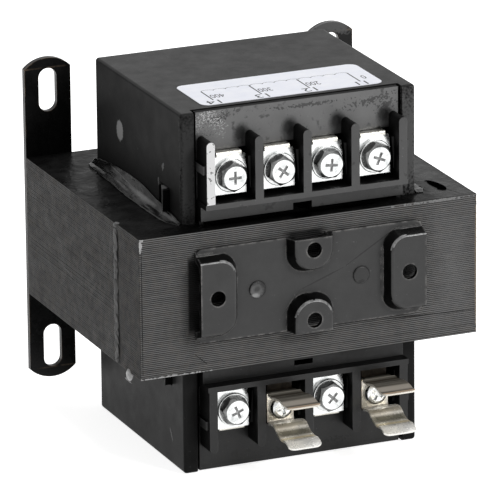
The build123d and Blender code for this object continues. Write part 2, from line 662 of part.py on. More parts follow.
def clip_screw(x):
    """A round-headed screw with a cross recess that holds a fuse clip on its tab."""
    z = -above(CLIP_HEIGHT)
    top = CLIP_BASE_FRONT - CLIP_SCREW_HEAD_HEIGHT
    head = pin(x, z, CLIP_SCREW_HEAD, top, CLIP_BASE_FRONT)
    rim = head.edges().filter_by(GeomType.CIRCLE).sort_by(Axis.Y)[0]
    head = fillet(rim, CLIP_SCREW_DOME)
    head -= cross_recess(x, z, CLIP_SCREW_RECESS_LENGTH, top)
    return head + pin(x, z, CLIP_SCREW_DIAMETER, CLIP_BASE_FRONT, CLIP_BASE_FRONT + CLIP_SCREW_REACH)


for number in FUSED_TERMINALS:
    save("fuse_clip_%d" % number, fuse_clip(terminal_x(number)))
save("fuse_clip_screws", joined(clip_screw(terminal_x(number)) for number in FUSED_TERMINALS))


# Leads between the coil and the terminal tabs

def lead(x, winding_height):
    """A wire from the front of a winding up to the underside of a tab."""
    rise = above(TAB_TOP) - TAB_THICKNESS - winding_height
    radius = LEAD_DIAMETER / 2
    upright = Pos(x, LEAD_CENTRE_Y, winding_height + rise / 2) * Cylinder(radius, rise)
    knee = Pos(x, LEAD_CENTRE_Y, winding_height) * Sphere(radius)
    into_coil = pin(x, winding_height, LEAD_DIAMETER, LEAD_CENTRE_Y, COIL_FRONT - LEAD_END_GAP)
    return upright + knee + into_coil


primary_height = BOBBIN_HALF_Z + PRIMARY_LEAD_BUILD
secondary_height = BOBBIN_HALF_Z + SECONDARY_LEAD_BUILD
save("primary_leads", joined(lead(terminal_x(number), primary_height)
                             for number in range(1, TERMINAL_COUNT + 1)))
save("secondary_leads", joined(turned_over(lead(terminal_x(number), secondary_height))
                               for number in range(1, TERMINAL_COUNT + 1)))


# Insulating film at the foot of the upper cover

def film(side):
    """A strip of film that stands against the side of the cover and turns out over the core."""
    wall_x = COVER_HALF_WIDTH + FILM_THICKNESS / 2
    foot_z = CORE_FACE + FILM_THICKNESS / 2
    path = FilletPolyline((wall_x, above(FILM_HEIGHT)), (wall_x, above(FILM_SHOULDER)),
                          (COVER_HALF_WIDTH + FILM_SPREAD, foot_z), radius=FILM_BEND)
    profile = trace(path, FILM_THICKNESS)
    front = COVER_FRONT + FILM_FRONT_MARGIN
    strip = sheet(profile, front, COVER_BACK - FILM_BACK_MARGIN)
    strip &= block(0, CORE_WIDTH, front, COVER_BACK, CORE_FACE, COVER_TOP)
    if side < 0:
        strip = mirror(strip, about=Plane.YZ)
    return strip


save("left_insulation_film", film(-1))
save("right_insulation_film", film(1))


# Connection label on the upper cover

def connection_label():
    """A thin sticker with rounded corners near the front edge of the top."""
    outline = RectangleRounded(LABEL_WIDTH, LABEL_DEPTH, LABEL_CORNER)
    middle_y = COVER_FRONT + LABEL_SETBACK + LABEL_DEPTH / 2
    return extrude(Pos(LABEL_SIDE_SHIFT, middle_y, COVER_TOP) * outline, amount=LABEL_THICKNESS)


save("connection_label", connection_label())
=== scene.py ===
import math
import random

import bpy
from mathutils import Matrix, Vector


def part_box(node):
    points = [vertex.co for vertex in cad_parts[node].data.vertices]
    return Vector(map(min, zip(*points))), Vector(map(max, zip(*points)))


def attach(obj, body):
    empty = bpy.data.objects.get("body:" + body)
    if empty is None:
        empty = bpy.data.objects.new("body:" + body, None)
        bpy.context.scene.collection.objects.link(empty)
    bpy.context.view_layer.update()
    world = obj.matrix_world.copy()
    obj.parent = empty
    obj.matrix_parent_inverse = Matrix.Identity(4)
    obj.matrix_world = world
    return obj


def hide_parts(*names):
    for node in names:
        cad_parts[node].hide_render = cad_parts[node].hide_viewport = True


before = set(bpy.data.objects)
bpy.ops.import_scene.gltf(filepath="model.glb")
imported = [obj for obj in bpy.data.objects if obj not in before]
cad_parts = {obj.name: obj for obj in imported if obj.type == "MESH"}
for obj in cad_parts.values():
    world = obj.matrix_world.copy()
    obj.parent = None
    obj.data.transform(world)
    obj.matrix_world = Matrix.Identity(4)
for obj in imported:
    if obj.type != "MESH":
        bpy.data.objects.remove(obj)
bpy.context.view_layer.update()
random.seed(11)

# Core, E part. Flat iron sheets with a yoke at the back and three legs towards the front, stacked
# seventy-four high, dipped in black varnish and painted. Sizes are in mm about the middle of the
# core's front face, with y to the back, and at() gives their place in the frame.
core_low, core_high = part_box("i_lamination_stack")


def at(x, y, z):
    return Vector((x / 1000, core_low.y + y / 1000, (core_low.z + core_high.z) / 2 + z / 1000))


def clear_selection():
    bpy.ops.object.select_all(action="DESELECT")


def only(piece):
    clear_selection()
    piece.select_set(True)
    bpy.context.view_layer.objects.active = piece


def settle(piece, name):
    """Puts a new primitive's place, turn and size into its mesh."""
    only(piece)
    bpy.ops.object.transform_apply(location=True, rotation=True, scale=True)
    piece.name = name
    return piece


def brick(name, x, y, z):
    """A block between two limits in each direction."""
    clear_selection()
    low, high = at(x[0], y[0], z[0]), at(x[1], y[1], z[1])
    bpy.ops.mesh.primitive_cube_add(size=1, location=(low + high) / 2)
    piece = bpy.context.object
    piece.scale = high - low
    return settle(piece, name)


def rod(name, x, y, z, radius, sides=48):
    """A round bar along y, between two limits."""
    clear_selection()
    bpy.ops.mesh.primitive_cylinder_add(vertices=sides, radius=radius / 1000, depth=(y[1] - y[0]) / 1000,
                                        location=at(x, (y[0] + y[1]) / 2, z),
                                        rotation=(math.radians(90), 0, 0))
    return settle(bpy.context.object, name)


def worked(piece, kind, **settings):
    """Gives the piece a modifier and applies it."""
    only(piece)
    modifier = piece.modifiers.new(kind.title(), kind)
    for key, value in settings.items():
        setattr(modifier, key, value)
    bpy.ops.object.modifier_apply(modifier=modifier.name)
    return piece


def joined_by(piece, tools, operation):
    for tool in tools:
        worked(piece, "BOOLEAN", object=tool, operation=operation, solver="EXACT")
        bpy.data.objects.remove(tool)
    return piece


def cut(piece, *tools):
    return joined_by(piece, tools, "DIFFERENCE")


def fused(piece, *tools):
    return joined_by(piece, tools, "UNION")


def within(piece, *tools):
    return joined_by(piece, tools, "INTERSECT")


def eased(piece, width, segments=2, angle=30):
    """Rounds the edges a little and shades the faces flat between them."""
    worked(piece, "BEVEL", width=width / 1000, segments=segments, limit_method="ANGLE",
           angle_limit=math.radians(angle), miter_outer="MITER_ARC", use_clamp_overlap=True)
    bpy.ops.object.shade_smooth_by_angle(angle=math.radians(40))
    worked(piece, "WEIGHTED_NORMAL", keep_sharp=True, weight=90)
    return piece


def leave_edit():
    bpy.ops.mesh.select_all(action="DESELECT")
    bpy.ops.object.mode_set(mode="OBJECT")


def clear_parts(piece, kind):
    """Makes the piece's edges or corners the parts to select, with none selected."""
    only(piece)
    bpy.ops.object.mode_set(mode="EDIT")
    bpy.ops.mesh.select_mode(type=kind)
    leave_edit()


def edit_edges(piece, test):
    """Opens the piece in edit mode with the edges selected whose ends pass the test."""
    clear_parts(piece, "EDGE")
    verts = piece.data.vertices
    for edge in piece.data.edges:
        a, b = (verts[i].co for i in edge.vertices)
        edge.select = bool(test(a, b))
    bpy.ops.object.mode_set(mode="EDIT")


def edit_corners(piece, test):
    """Opens the piece in edit mode with the corners selected that pass the test."""
    clear_parts(piece, "VERT")
    for corner in piece.data.vertices:
        corner.select = bool(test(corner.co))
    bpy.ops.object.mode_set(mode="EDIT")


def edit_whole(piece):
    """Opens the piece in edit mode with all of it selected."""
    only(piece)
    bpy.ops.object.mode_set(mode="EDIT")
    bpy.ops.mesh.select_all(action="SELECT")


def ahead_of(y):
    """A test for edges in front of a place."""
    limit = at(0, y, 0).y + 1e-5
    return lambda a, b: a.y < limit and b.y < limit


def runs_back(a, b):
    """A test for edges that run from front to back."""
    return abs(a.y - b.y) > 1e-4


def round_off(piece, width, segments, test):
    """Rounds the edges whose ends pass the test, by a width in metres."""
    edit_edges(piece, test)
    bpy.ops.mesh.bevel(offset=width, segments=segments)
    leave_edit()


def pull(piece, test, x=0.0, y=0.0, z=0.0):
    """Moves the corners that pass the test by so many mm."""
    edit_corners(piece, test)
    bpy.ops.transform.translate(value=(x / 1000, y / 1000, z / 1000))
    leave_edit()


def copy_of(piece, name, x=0.0, y=0.0, z=0.0):
    """A copy with its own mesh, moved by so many mm."""
    only(piece)
    bpy.ops.object.duplicate()
    bpy.ops.transform.translate(value=(x / 1000, y / 1000, z / 1000))
    return settle(bpy.context.object, name)


def one_piece(name, pieces):
    """Joins separate lumps into one object."""
    clear_selection()
    for piece in pieces:
        piece.select_set(True)
    bpy.context.view_layer.objects.active = pieces[0]
    bpy.ops.object.join()
    bpy.context.object.name = name
    return bpy.context.object


def fitted(piece, material, slot, body, *nodes):
    """Dresses a finished piece and puts it in the place of the CAD nodes that it stands for."""
    piece.data.materials.clear()
    piece.data.materials.append(material)
    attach(piece, body)
    if nodes:
        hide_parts(*nodes)
    return piece


def second_skin(piece, material, test):
    """Gives another material to the faces whose normal and centre pass the test."""
    piece.data.materials.append(material)
    number = len(piece.data.materials) - 1
    for face in piece.data.polygons:
        if test(face.normal, face.center):
            face.material_index = number


def add(tree, kind, settings=None, **inputs):
    """A shader node with its settings and its inputs, each a number, a colour or another socket."""
    made = tree.nodes.new("ShaderNode" + kind)
    for key, value in (settings or {}).items():
        setattr(made, key, value)
    for key, value in inputs.items():
        feed(tree, made.inputs[key.replace("_", " ")], value)
    return made


def feed(tree, socket, value):
    if isinstance(value, bpy.types.NodeSocket):
        tree.links.new(value, socket)
    else:
        socket.default_value = value


def sums(tree, operation, *values, clamp=False):
    made = tree.nodes.new("ShaderNodeMath")
    made.operation = operation
    made.use_clamp = clamp
    for socket, value in zip(made.inputs, values):
        feed(tree, socket, value)
    return made.outputs[0]


def blend(tree, factor, first, second):
    """Mixes two colours."""
    made = tree.nodes.new("ShaderNodeMix")
    made.data_type = "RGBA"
    feed(tree, made.inputs[0], factor)
    feed(tree, made.inputs[6], first)
    feed(tree, made.inputs[7], second)
    return made.outputs[2]


def mark(tree, place, centre, half, turn=(0.0, 0.0, 0.0), ragged=0.5, square=0.0, crisp=6.0):
    """A mask for one mark about a place, with its half sizes in mm and its turn in degrees."""
    local = add(tree, "Mapping", {"vector_type": "TEXTURE"}, Vector=place, Location=at(*centre),
                Rotation=[math.radians(angle) for angle in turn], Scale=[size / 1000 for size in half])
    made = use(tree, blot, Place=local.outputs[0], Whole=place, Ragged=ragged, Square=square, Crisp=crisp)
    return made["Mask"]


def marked(tree, place, colour, marks):
    """Lays marks on a colour, each a place, half sizes, a turn, raggedness, a colour and a form."""
    for centre, half, turn, ragged, tint, *form in marks:
        colour = blend(tree, mark(tree, place, centre, half, turn, ragged, *form), colour, tint)
    return colour


def sprinkled(tree, place, colour, patches):
    """Scatters fine specks on a colour inside round patches."""
    for centre, half, rarity, tint in patches:
        grains = use(tree, specks, Place=place, Scale=3600.0, Rarity=rarity, Sharpness=26.0)["Mask"]
        inside = mark(tree, place, centre, half, (0, 0, 0), 0.6, 0.0, 1.6)
        colour = blend(tree, sums(tree, "MULTIPLY", grains, inside), colour, tint)
    return colour


def grey(level, warm=0.0):
    return (level * (1 + warm), level, level * (1 - warm), 1.0)


def grained(tree, shader, strength, distance, place, scale, detail):
    """Raises a fine grain on a surface."""
    noise = add(tree, "TexNoise", None, Vector=place, Scale=scale, Detail=detail)
    raised(tree, shader, strength, distance, noise.outputs["Fac"])


def raised(tree, shader, strength, distance, height):
    """Lets a surface rise and fall with a height."""
    bump = add(tree, "Bump", None, Strength=strength, Distance=distance, Height=height)
    feed(tree, shader.inputs["Normal"], bump.outputs[0])


def surface(name):
    """A new material: its tree, its main shader and the object's own coordinates."""
    material = bpy.data.materials.new(name)
    material.use_nodes = True
    tree = material.node_tree
    shader = tree.nodes["Principled BSDF"]
    place = add(tree, "TexCoord").outputs["Object"]
    return material, tree, shader, place


def new_group(name, inputs, outputs):
    tree = bpy.data.node_groups.new(name, "ShaderNodeTree")
    for label, kind, default in inputs:
        socket = tree.interface.new_socket(label, in_out="INPUT", socket_type="NodeSocket" + kind)
        if default is not None:
            socket.default_value = default
    for label, kind in outputs:
        tree.interface.new_socket(label, in_out="OUTPUT", socket_type="NodeSocket" + kind)
    return tree, tree.nodes.new("NodeGroupInput").outputs, tree.nodes.new("NodeGroupOutput").inputs


def use(tree, group, **inputs):
    made = tree.nodes.new("ShaderNodeGroup")
    made.node_tree = group
    for key, value in inputs.items():
        feed(tree, made.inputs[key.replace("_", " ")], value)
    return made.outputs


# mottle: soft uneven tone between two levels
mottle, enter, leave = new_group(
    "Mottle",
    [("Place", "Vector", None), ("Scale", "Float", 200.0), ("Low", "Float", 0.0), ("High", "Float", 1.0)],
    [("Tone", "Float")])
cloud = add(mottle, "TexNoise", {"noise_dimensions": "3D"}, Vector=enter["Place"], Scale=enter["Scale"],
            Detail=5.0, Roughness=0.6)
spread = add(mottle, "MapRange", None, Value=cloud.outputs["Fac"], From_Min=0.3, From_Max=0.7,
             To_Min=enter["Low"], To_Max=enter["High"])
mottle.links.new(spread.outputs[0], leave["Tone"])


def dulled(tree, shader, place, scale, low, high):
    """Lets the roughness of a surface wander between two levels."""
    level = use(tree, mottle, Place=place, Scale=scale, Low=low, High=high)["Tone"]
    feed(tree, shader.inputs["Roughness"], level)


def two_tone(tree, place, scale, first, second):
    """A colour that wanders between two."""
    return blend(tree, use(tree, mottle, Place=place, Scale=scale, Low=0.0, High=1.0)["Tone"], first, second)


# specks: scattered small spots, such as dust and moulding dirt
specks, enter, leave = new_group(
    "Specks",
    [("Place", "Vector", None), ("Scale", "Float", 900.0), ("Rarity", "Float", 0.7),
     ("Sharpness", "Float", 30.0)],
    [("Mask", "Float")])
cloud = add(specks, "TexNoise", None, Vector=enter["Place"], Scale=enter["Scale"], Detail=2.0, Roughness=0.5)
above = sums(specks, "SUBTRACT", cloud.outputs["Fac"], enter["Rarity"])
specks.links.new(sums(specks, "MULTIPLY", above, enter["Sharpness"], clamp=True), leave["Mask"])

# edge wear and sheen: a mask along the edges, broken up by a soft noise, for paint worn thin on some parts
# and for painted highlights along the edges of the front plate
edge_wear_and_sheen, enter, leave = new_group(
    "Edge wear and sheen",
    [("Place", "Vector", None), ("Reach", "Float", 0.0005), ("Scale", "Float", 400.0),
     ("Amount", "Float", 1.0)],
    [("Mask", "Float")])
rounded = add(edge_wear_and_sheen, "Bevel", {"samples": 6}, Radius=enter["Reach"]).outputs[0]
flat_normal = add(edge_wear_and_sheen, "NewGeometry").outputs["Normal"]
turn = add(edge_wear_and_sheen, "VectorMath", {"operation": "DOT_PRODUCT"})
edge_wear_and_sheen.links.new(rounded, turn.inputs[0])
edge_wear_and_sheen.links.new(flat_normal, turn.inputs[1])
edge = sums(edge_wear_and_sheen, "MULTIPLY", sums(edge_wear_and_sheen, "SUBTRACT", 1.0, turn.outputs["Value"]), 6.0, clamp=True)
cloud = add(edge_wear_and_sheen, "TexNoise", None, Vector=enter["Place"], Scale=enter["Scale"], Detail=4.0)
patchy = add(edge_wear_and_sheen, "MapRange", None, Value=cloud.outputs["Fac"], From_Min=0.42, From_Max=0.62)
patchy_edge = sums(edge_wear_and_sheen, "MULTIPLY", edge, patchy.outputs[0])
edge_wear_and_sheen.links.new(sums(edge_wear_and_sheen, "MULTIPLY", patchy_edge, enter["Amount"], clamp=True), leave["Mask"])

# corner shade: painted shade, darker in corners and hollows where little light reaches
corner_shade, enter, leave = new_group(
    "Corner shade", [("Reach", "Float", 0.001), ("Amount", "Float", 1.0)], [("Mask", "Float")])
open_sky = add(corner_shade, "AmbientOcclusion", {"samples": 8}, Distance=enter["Reach"])
closed = sums(corner_shade, "SUBTRACT", 1.0, open_sky.outputs["AO"])
corner_shade.links.new(sums(corner_shade, "MULTIPLY", closed, enter["Amount"], clamp=True), leave["Mask"])

# blot: one round or square mark with a ragged rim, crisp or soft
blot, enter, leave = new_group(
    "Blot", [("Place", "Vector", None), ("Whole", "Vector", None), ("Ragged", "Float", 0.5),
             ("Square", "Float", 0.0), ("Crisp", "Float", 6.0)], [("Mask", "Float")])
reach = add(blot, "VectorMath", {"operation": "LENGTH"})
blot.links.new(enter["Place"], reach.inputs[0])
sides = add(blot, "SeparateXYZ", None, Vector=enter["Place"])
widest = sums(blot, "MAXIMUM", sums(blot, "ABSOLUTE", sides.outputs["X"]),
              sums(blot, "ABSOLUTE", sides.outputs["Y"]))
widest = sums(blot, "MAXIMUM", widest, sums(blot, "ABSOLUTE", sides.outputs["Z"]))
extra = sums(blot, "MULTIPLY", enter["Square"], sums(blot, "SUBTRACT", widest, reach.outputs["Value"]))
distance = sums(blot, "ADD", reach.outputs["Value"], extra)
cloud = add(blot, "TexNoise", None, Vector=enter["Whole"], Scale=1600.0, Detail=3.0)
uneven = sums(blot, "MULTIPLY", sums(blot, "SUBTRACT", cloud.outputs["Fac"], 0.5), enter["Ragged"])
rim = sums(blot, "ADD", sums(blot, "SUBTRACT", 1.0, distance), sums(blot, "MULTIPLY", uneven, 4.0))
blot.links.new(sums(blot, "MULTIPLY", rim, enter["Crisp"], clamp=True), leave["Mask"])

# sheet edges: a mask for the gaps between stacked sheets, and a tone for each sheet
sheet_lines, enter, leave = new_group(
    "Sheet edges", [("Place", "Vector", None), ("Bottom", "Float", 0.0), ("Pitch", "Float", 0.0005)],
    [("Gap", "Float"), ("Tone", "Float")])
split = add(sheet_lines, "SeparateXYZ", None, Vector=enter["Place"])
rise = sums(sheet_lines, "SUBTRACT", split.outputs["Z"], enter["Bottom"])
count = sums(sheet_lines, "DIVIDE", rise, enter["Pitch"])
within_sheet = sums(sheet_lines, "SUBTRACT", sums(sheet_lines, "FRACT", count), 0.5)
from_middle = sums(sheet_lines, "ABSOLUTE", within_sheet)
past_ridge = sums(sheet_lines, "SUBTRACT", from_middle, 0.22)
sheet_lines.links.new(sums(sheet_lines, "MULTIPLY", past_ridge, 8.0, clamp=True), leave["Gap"])
each = add(sheet_lines, "TexWhiteNoise", {"noise_dimensions": "1D"}, W=sums(sheet_lines, "FLOOR", count))
sheet_lines.links.new(each.outputs["Value"], leave["Tone"])

core_width = 95.25
core_half = 38.1 / 2
sheet_count = 74
sheet_pitch = 2 * core_half / sheet_count
i_depth = 15.875
core_depth = 79.375
tongue_half = 15.875
window_outer = 31.75
window_back = 63.5


def stacked(name, sheet):
    """Lays copies of one sheet on each other, none of them quite square to the next."""
    sheets = [sheet]
    for number in range(1, sheet_count):
        sheets.append(copy_of(sheet, "sheet", random.uniform(-0.03, 0.03), random.uniform(0.0, 0.05),
                              number * sheet_pitch))
    return one_piece(name, sheets)


def core_paint(name, ridge, gap_depth, shine, marks):
    """Paint over sheet edges: the sheets show as fine lines under it."""
    material, tree, shader, place = surface(name)
    lines = use(tree, sheet_lines, Place=place, Bottom=at(0, 0, -core_half).z, Pitch=sheet_pitch / 1000)
    tone = use(tree, mottle, Place=place, Scale=110.0, Low=0.75, High=1.1)["Tone"]
    level = sums(tree, "MULTIPLY", tone, sums(tree, "ADD", 0.85, sums(tree, "MULTIPLY", lines["Tone"], 0.3)))
    paint = blend(tree, level, grey(0.0), grey(ridge))
    paint = blend(tree, sums(tree, "MULTIPLY", lines["Gap"], gap_depth), paint, grey(0.002))
    edge_mask = use(tree, edge_wear_and_sheen, Place=place, Reach=0.0006, Scale=500.0, Amount=0.3)["Mask"]
    paint = blend(tree, edge_mask, paint, (0.17, 0.14, 0.11, 1))
    feed(tree, shader.inputs["Base Color"], marked(tree, place, paint, marks))
    dulled(tree, shader, place, 260.0, 0.42, 0.6)
    shader.inputs["Specular IOR Level"].default_value = shine
    fine = add(tree, "TexNoise", None, Vector=place, Scale=1500.0, Detail=3.0)
    height = sums(tree, "SUBTRACT", sums(tree, "MULTIPLY", fine.outputs["Fac"], 0.3), lines["Gap"])
    raised(tree, shader, 0.5 * gap_depth, 0.00008, height)
    return material


# wet varnish: the thick black coat that lies on the top and bottom sheets
wet_black, tree, shader, place = surface("Wet varnish")
wet_colour = two_tone(tree, place, 180.0, grey(0.002), grey(0.014))
dulled(tree, shader, place, 240.0, 0.25, 0.45)
shader.inputs["Specular IOR Level"].default_value = 0.03
puddles = use(tree, specks, Place=place, Scale=260.0, Rarity=0.56, Sharpness=6.0)["Mask"]
feed(tree, shader.inputs["Coat Weight"], sums(tree, "MULTIPLY", puddles, 0.06))
shader.inputs["Coat Roughness"].default_value = 0.12
feed(tree, shader.inputs["Base Color"], marked(tree, place, wet_colour, [
    ((-4.0, 3.0, core_half), (38.0, 3.6, 1.0), (0, 0, 0), 0.3, grey(0.0), 1.0, 2.5),
    ((42.5, 22.0, core_half), (6.0, 22.0, 1.0), (0, 0, 0), 0.15, grey(0.05), 1.0, 2.0),
    ((42.5, 4.0, core_half), (5.5, 5.0, 1.0), (0, 0, 0), 0.3, grey(0.045), 1.0, 2.0),
    ((43.2, 3.8, core_half), (0.22, 4.1, 1.0), (0, 0, 23.4), 0.3, grey(0.0005), 0.0, 3.0),
]))
lumps = add(tree, "TexNoise", None, Vector=place, Scale=420.0, Detail=3.0, Distortion=0.4)
raised(tree, shader, 0.55, 0.0004, lumps.outputs["Fac"])


e_sheet = brick("sheet", (-core_width / 2, core_width / 2), (i_depth + 0.05, core_depth - 0.05),
                (-core_half, -core_half + sheet_pitch))
cut(e_sheet, *[brick("window", sorted((side * tongue_half, side * window_outer)), (0, window_back), (-30, 30))
               for side in (-1, 1)])
eased(e_sheet, 0.06, 1)
side_black = core_paint("Painted sheet edges at the side", 0.024, 0.4, 0.1, [
    ((-47.6, 20.0, 12.0), (1.0, 0.12, 9.0), (12, 0, 0), 0.3, grey(0.07)),
    ((-47.6, 52.0, -4.0), (1.0, 9.0, 0.15), (9, 0, 0), 0.4, grey(0.07)),
])
e_stack = stacked("e_lamination_stack_sheets", e_sheet)
fitted(e_stack, side_black, "painted_laminations", "transformer", "e_lamination_stack")
stack_top = at(0, 0, core_half).z - 0.0001
stack_bottom = at(0, 0, -core_half).z + 0.0001


def outer_sheet(normal, centre):
    return abs(normal.z) > 0.7 and (centre.z > stack_top or centre.z < stack_bottom)


second_skin(e_stack, wet_black, outer_sheet)

# Core, I part. Straight sheets of the same iron close the three legs at the front. They carry the
# front plate and show the most: seventy-four thin edges under one coat of paint.
i_sheet = brick("sheet", (-core_width / 2 + 0.03, core_width / 2 - 0.03), (0.0, i_depth - 0.03),
                (-core_half, -core_half + sheet_pitch))
eased(i_sheet, 0.07, 1)
i_stack = stacked("i_lamination_stack_sheets", i_sheet)
front_black = core_paint("Painted sheet edges at the front", 0.15, 1.0, 0.2, [
    # painted shade: black where the core shows through the open ends of the left and the upper bosses, and
    # behind the four holes inside the hollow bosses
    ((-31.2, 0.0, 2.0), (3.2, 1.0, 11.2), (0, 0, 0), 0.0, grey(0.0), 1.0, 5.0),
    ((-1.4, 0.0, 13.9), (6.6, 1.0, 2.2), (0, 0, 0), 0.0, grey(0.0), 1.0, 2.2),
    ((-26.2, 0.0, 2.6), (3.6, 1.0, 3.6), (0, 0, 0), 0.0, grey(0.0)),
    ((27.8, 0.0, 2.6), (3.6, 1.0, 3.6), (0, 0, 0), 0.0, grey(0.0)),
    ((0.8, 0.0, 12.2), (3.6, 1.0, 3.6), (0, 0, 0), 0.0, grey(0.0)),
    ((0.8, 0.0, -6.9), (3.6, 1.0, 3.6), (0, 0, 0), 0.0, grey(0.0)),
    ((40.5, 0.0, 0.0), (7.5, 1.0, 22.0), (0, 0, 0), 0.2, grey(0.17), 1.0, 0.5),
    ((-47.2, 0.0, 17.3), (0.7, 1.5, 1.9), (0, 0, 0), 0.7, grey(0.5)),
    ((-46.95, 0.0, 0.0), (0.14, 1.0, 20.0), (0, 0, 0), 0.3, grey(0.004)),
    ((-39.0, 0.0, -18.95), (9.5, 1.5, 0.3), (0, 0, 0), 1.2, grey(0.4)),
    ((-30.6, 0.0, -15.6), (2.6, 1.0, 0.12), (0, 42, 0), 0.4, grey(0.01)),
    ((33.6, 0.0, -12.25), (14.0, 1.0, 0.16), (0, 1.8, 0), 0.2, grey(0.003)),
    ((47.35, 0.0, 0.0), (0.3, 1.5, 20.0), (0, 0, 0), 0.3, (0.2, 0.16, 0.12, 1)),
    ((36.0, 0.0, 18.6), (9.0, 1.0, 0.3), (0, 0, 0), 1.0, grey(0.25)),
])
fitted(i_stack, front_black, "painted_laminations", "transformer", "i_lamination_stack")
second_skin(i_stack, wet_black, outer_sheet)
second_skin(i_stack, side_black, lambda normal, centre: abs(normal.x) > 0.7)

# Weld beads. One run of weld down each side holds the E and I sheets together. The beads are
# painted over with the core, and the paint has run to a drop at the lower end.
bead_width = 3.4
bead_proud = 0.13


def weld_lump(x, y, z, size):
    """One frozen ripple of weld metal."""
    clear_selection()
    bpy.ops.mesh.primitive_ico_sphere_add(subdivisions=2, radius=0.001, location=at(x, y, z))
    lump = bpy.context.object
    lump.scale = size
    lump.rotation_euler = [random.uniform(-0.12, 0.12) for _ in range(3)]
    edit_whole(settle(lump, "lump"))
    bpy.ops.transform.vertex_random(offset=0.00006, seed=random.randint(0, 999))
    leave_edit()
    bpy.ops.object.shade_smooth()
    return lump


def bead_run(side):
    lumps = []
    z = -core_half + 1.9
    while z < core_half - 1.9:
        width = bead_width / 2 * random.uniform(0.86, 1.0)
        lumps.append(weld_lump(side * core_width / 2, i_depth + random.uniform(-0.1, 0.1), z,
                               (bead_proud * random.uniform(0.9, 1.0), width, random.uniform(1.6, 1.9))))
        z += random.uniform(0.95, 1.2)
    if side == -1:
        lumps.append(weld_lump(side * (core_width / 2 - 0.55), i_depth + 0.2, core_half - 0.6,
                               (0.95, 1.5, 0.8)))
    return lumps


weld_black, tree, shader, place = surface("Painted weld")
weld_colour = two_tone(tree, place, 500.0, grey(0.018), grey(0.03, 0.05))
feed(tree, shader.inputs["Base Color"], marked(tree, place, weld_colour, [
    ((-47.2, 16.0, 18.7), (1.8, 2.2, 1.7), (0, 0, 0), 0.1, grey(0.12), 0.0, 1.6),
]))
dulled(tree, shader, place, 900.0, 0.4, 0.55)
shader.inputs["Specular IOR Level"].default_value = 0.15
grained(tree, shader, 0.5, 0.0001, place, 1800.0, 3.0)
# painted highlight: the paint drop at the lower end of the left bead is painted pale as a glint
drop_glint, tree, shader, place = surface("Varnish drop, painted glint")
feed(tree, shader.inputs["Base Color"], two_tone(tree, place, 900.0, grey(0.25), grey(0.6)))
dulled(tree, shader, place, 900.0, 0.2, 0.4)
drop_at = at(-47.55, 8.0, -19.9)
beads = one_piece("core_weld_bead_runs", bead_run(-1) + bead_run(1)
                  + [weld_lump(-47.45, 8.0, -19.7, (0.75, 1.5, 1.75))])
fitted(beads, weld_black, "weld_metal", "transformer", "core_weld_beads")
second_skin(beads, drop_glint, lambda normal, centre: (centre - drop_at).length < 0.0025)

# Mounting feet. A flat steel strip is welded to the back of the core at each side. Each end is
# bowed and has an open slot for a panel screw. The paint is thin on the sheared edges.
foot_width = 13.1
foot_thickness = 1.6
foot_length = 89.4
foot_raise = 1.3
foot_end_rise = 2.75
slot_width = 5.1
slot_length = 11.9
slot_end_margin = 2.9
foot_x = (core_width - foot_width) / 2
foot_back = core_depth + foot_thickness
foot_top = foot_length / 2
bow_radius = (foot_width ** 2 / 4 + foot_end_rise ** 2) / (2 * foot_end_rise)


def slot_cutter(x, z):
    tool = brick("slot", (x - slot_width / 2, x + slot_width / 2), (core_depth - 2, foot_back + 2),
                 (z - slot_length / 2, z + slot_length / 2))
    round_off(tool, slot_width / 2000 - 1e-5, 14, runs_back)
    return tool


def mounting_foot(name, side):
    x = side * foot_x
    limits = (x - foot_width / 2, x + foot_width / 2)
    thick = (core_depth, foot_back)
    shoulder = foot_top - foot_end_rise
    strip = brick(name, limits, thick, (foot_raise - shoulder, foot_raise + shoulder))
    for end in (-1, 1):
        bow = rod("bow", x, thick, foot_raise + end * (foot_top - bow_radius), bow_radius, 160)
        keep = brick("keep", limits, (core_depth - 3, foot_back + 3),
                     sorted((foot_raise + end * (shoulder - 2), foot_raise + end * (foot_top + 2))))
        fused(strip, within(bow, keep))
        cut(strip, slot_cutter(x, foot_raise + end * (foot_top - slot_end_margin - slot_length / 2)))
    return eased(strip, 0.22, 3, 35)


foot_black, tree, shader, place = surface("Painted strip steel")
edge_mask = use(tree, edge_wear_and_sheen, Place=place, Reach=0.0005, Scale=260.0, Amount=0.9)["Mask"]
paint = two_tone(tree, place, 90.0, grey(0.003), grey(0.01))
paint = blend(tree, edge_mask, paint, (0.19, 0.14, 0.1, 1))
feed(tree, shader.inputs["Base Color"], marked(tree, place, paint, [
    ((41.0, 79.4, 46.5), (7.0, 1.0, 4.5), (0, 0, 0), 0.3, grey(0.11), 1.0, 3.0),
]))
dulled(tree, shader, place, 300.0, 0.2, 0.36)
shader.inputs["Specular IOR Level"].default_value = 0.15
rolled = add(tree, "Mapping", None, Vector=place, Scale=(700.0, 700.0, 120.0))
grained(tree, shader, 0.25, 0.00008, rolled.outputs[0], 1.0, 4.0)
for side, name in ((-1, "left"), (1, "right")):
    foot = mounting_foot(name + "_mounting_foot_strip", side)
    fitted(foot, foot_black, "painted_steel_feet", "transformer", name + "_mounting_foot")

# Foot welds. Short fillet welds join the inner edge of each foot to the back of the core, near the
# top and the bottom of the stack.
weld_run = 7.0
weld_leg = 1.8
weld_margin = 1.2
foot_lumps = []
for side in (-1, 1):
    for end in (-1, 1):
        edge_x = side * (foot_x - foot_width / 2)
        for step in range(7):
            z = end * (core_half - weld_margin - 0.8 - step * (weld_run - 1.6) / 6)
            foot_lumps.append(weld_lump(edge_x - side * weld_leg * 0.3, core_depth + 0.25, z,
                                        (weld_leg * random.uniform(0.5, 0.62), 0.95, 0.75)))
foot_beads = one_piece("foot_weld_beads", foot_lumps)
fitted(foot_beads, weld_black, "weld_metal", "transformer", "foot_welds")

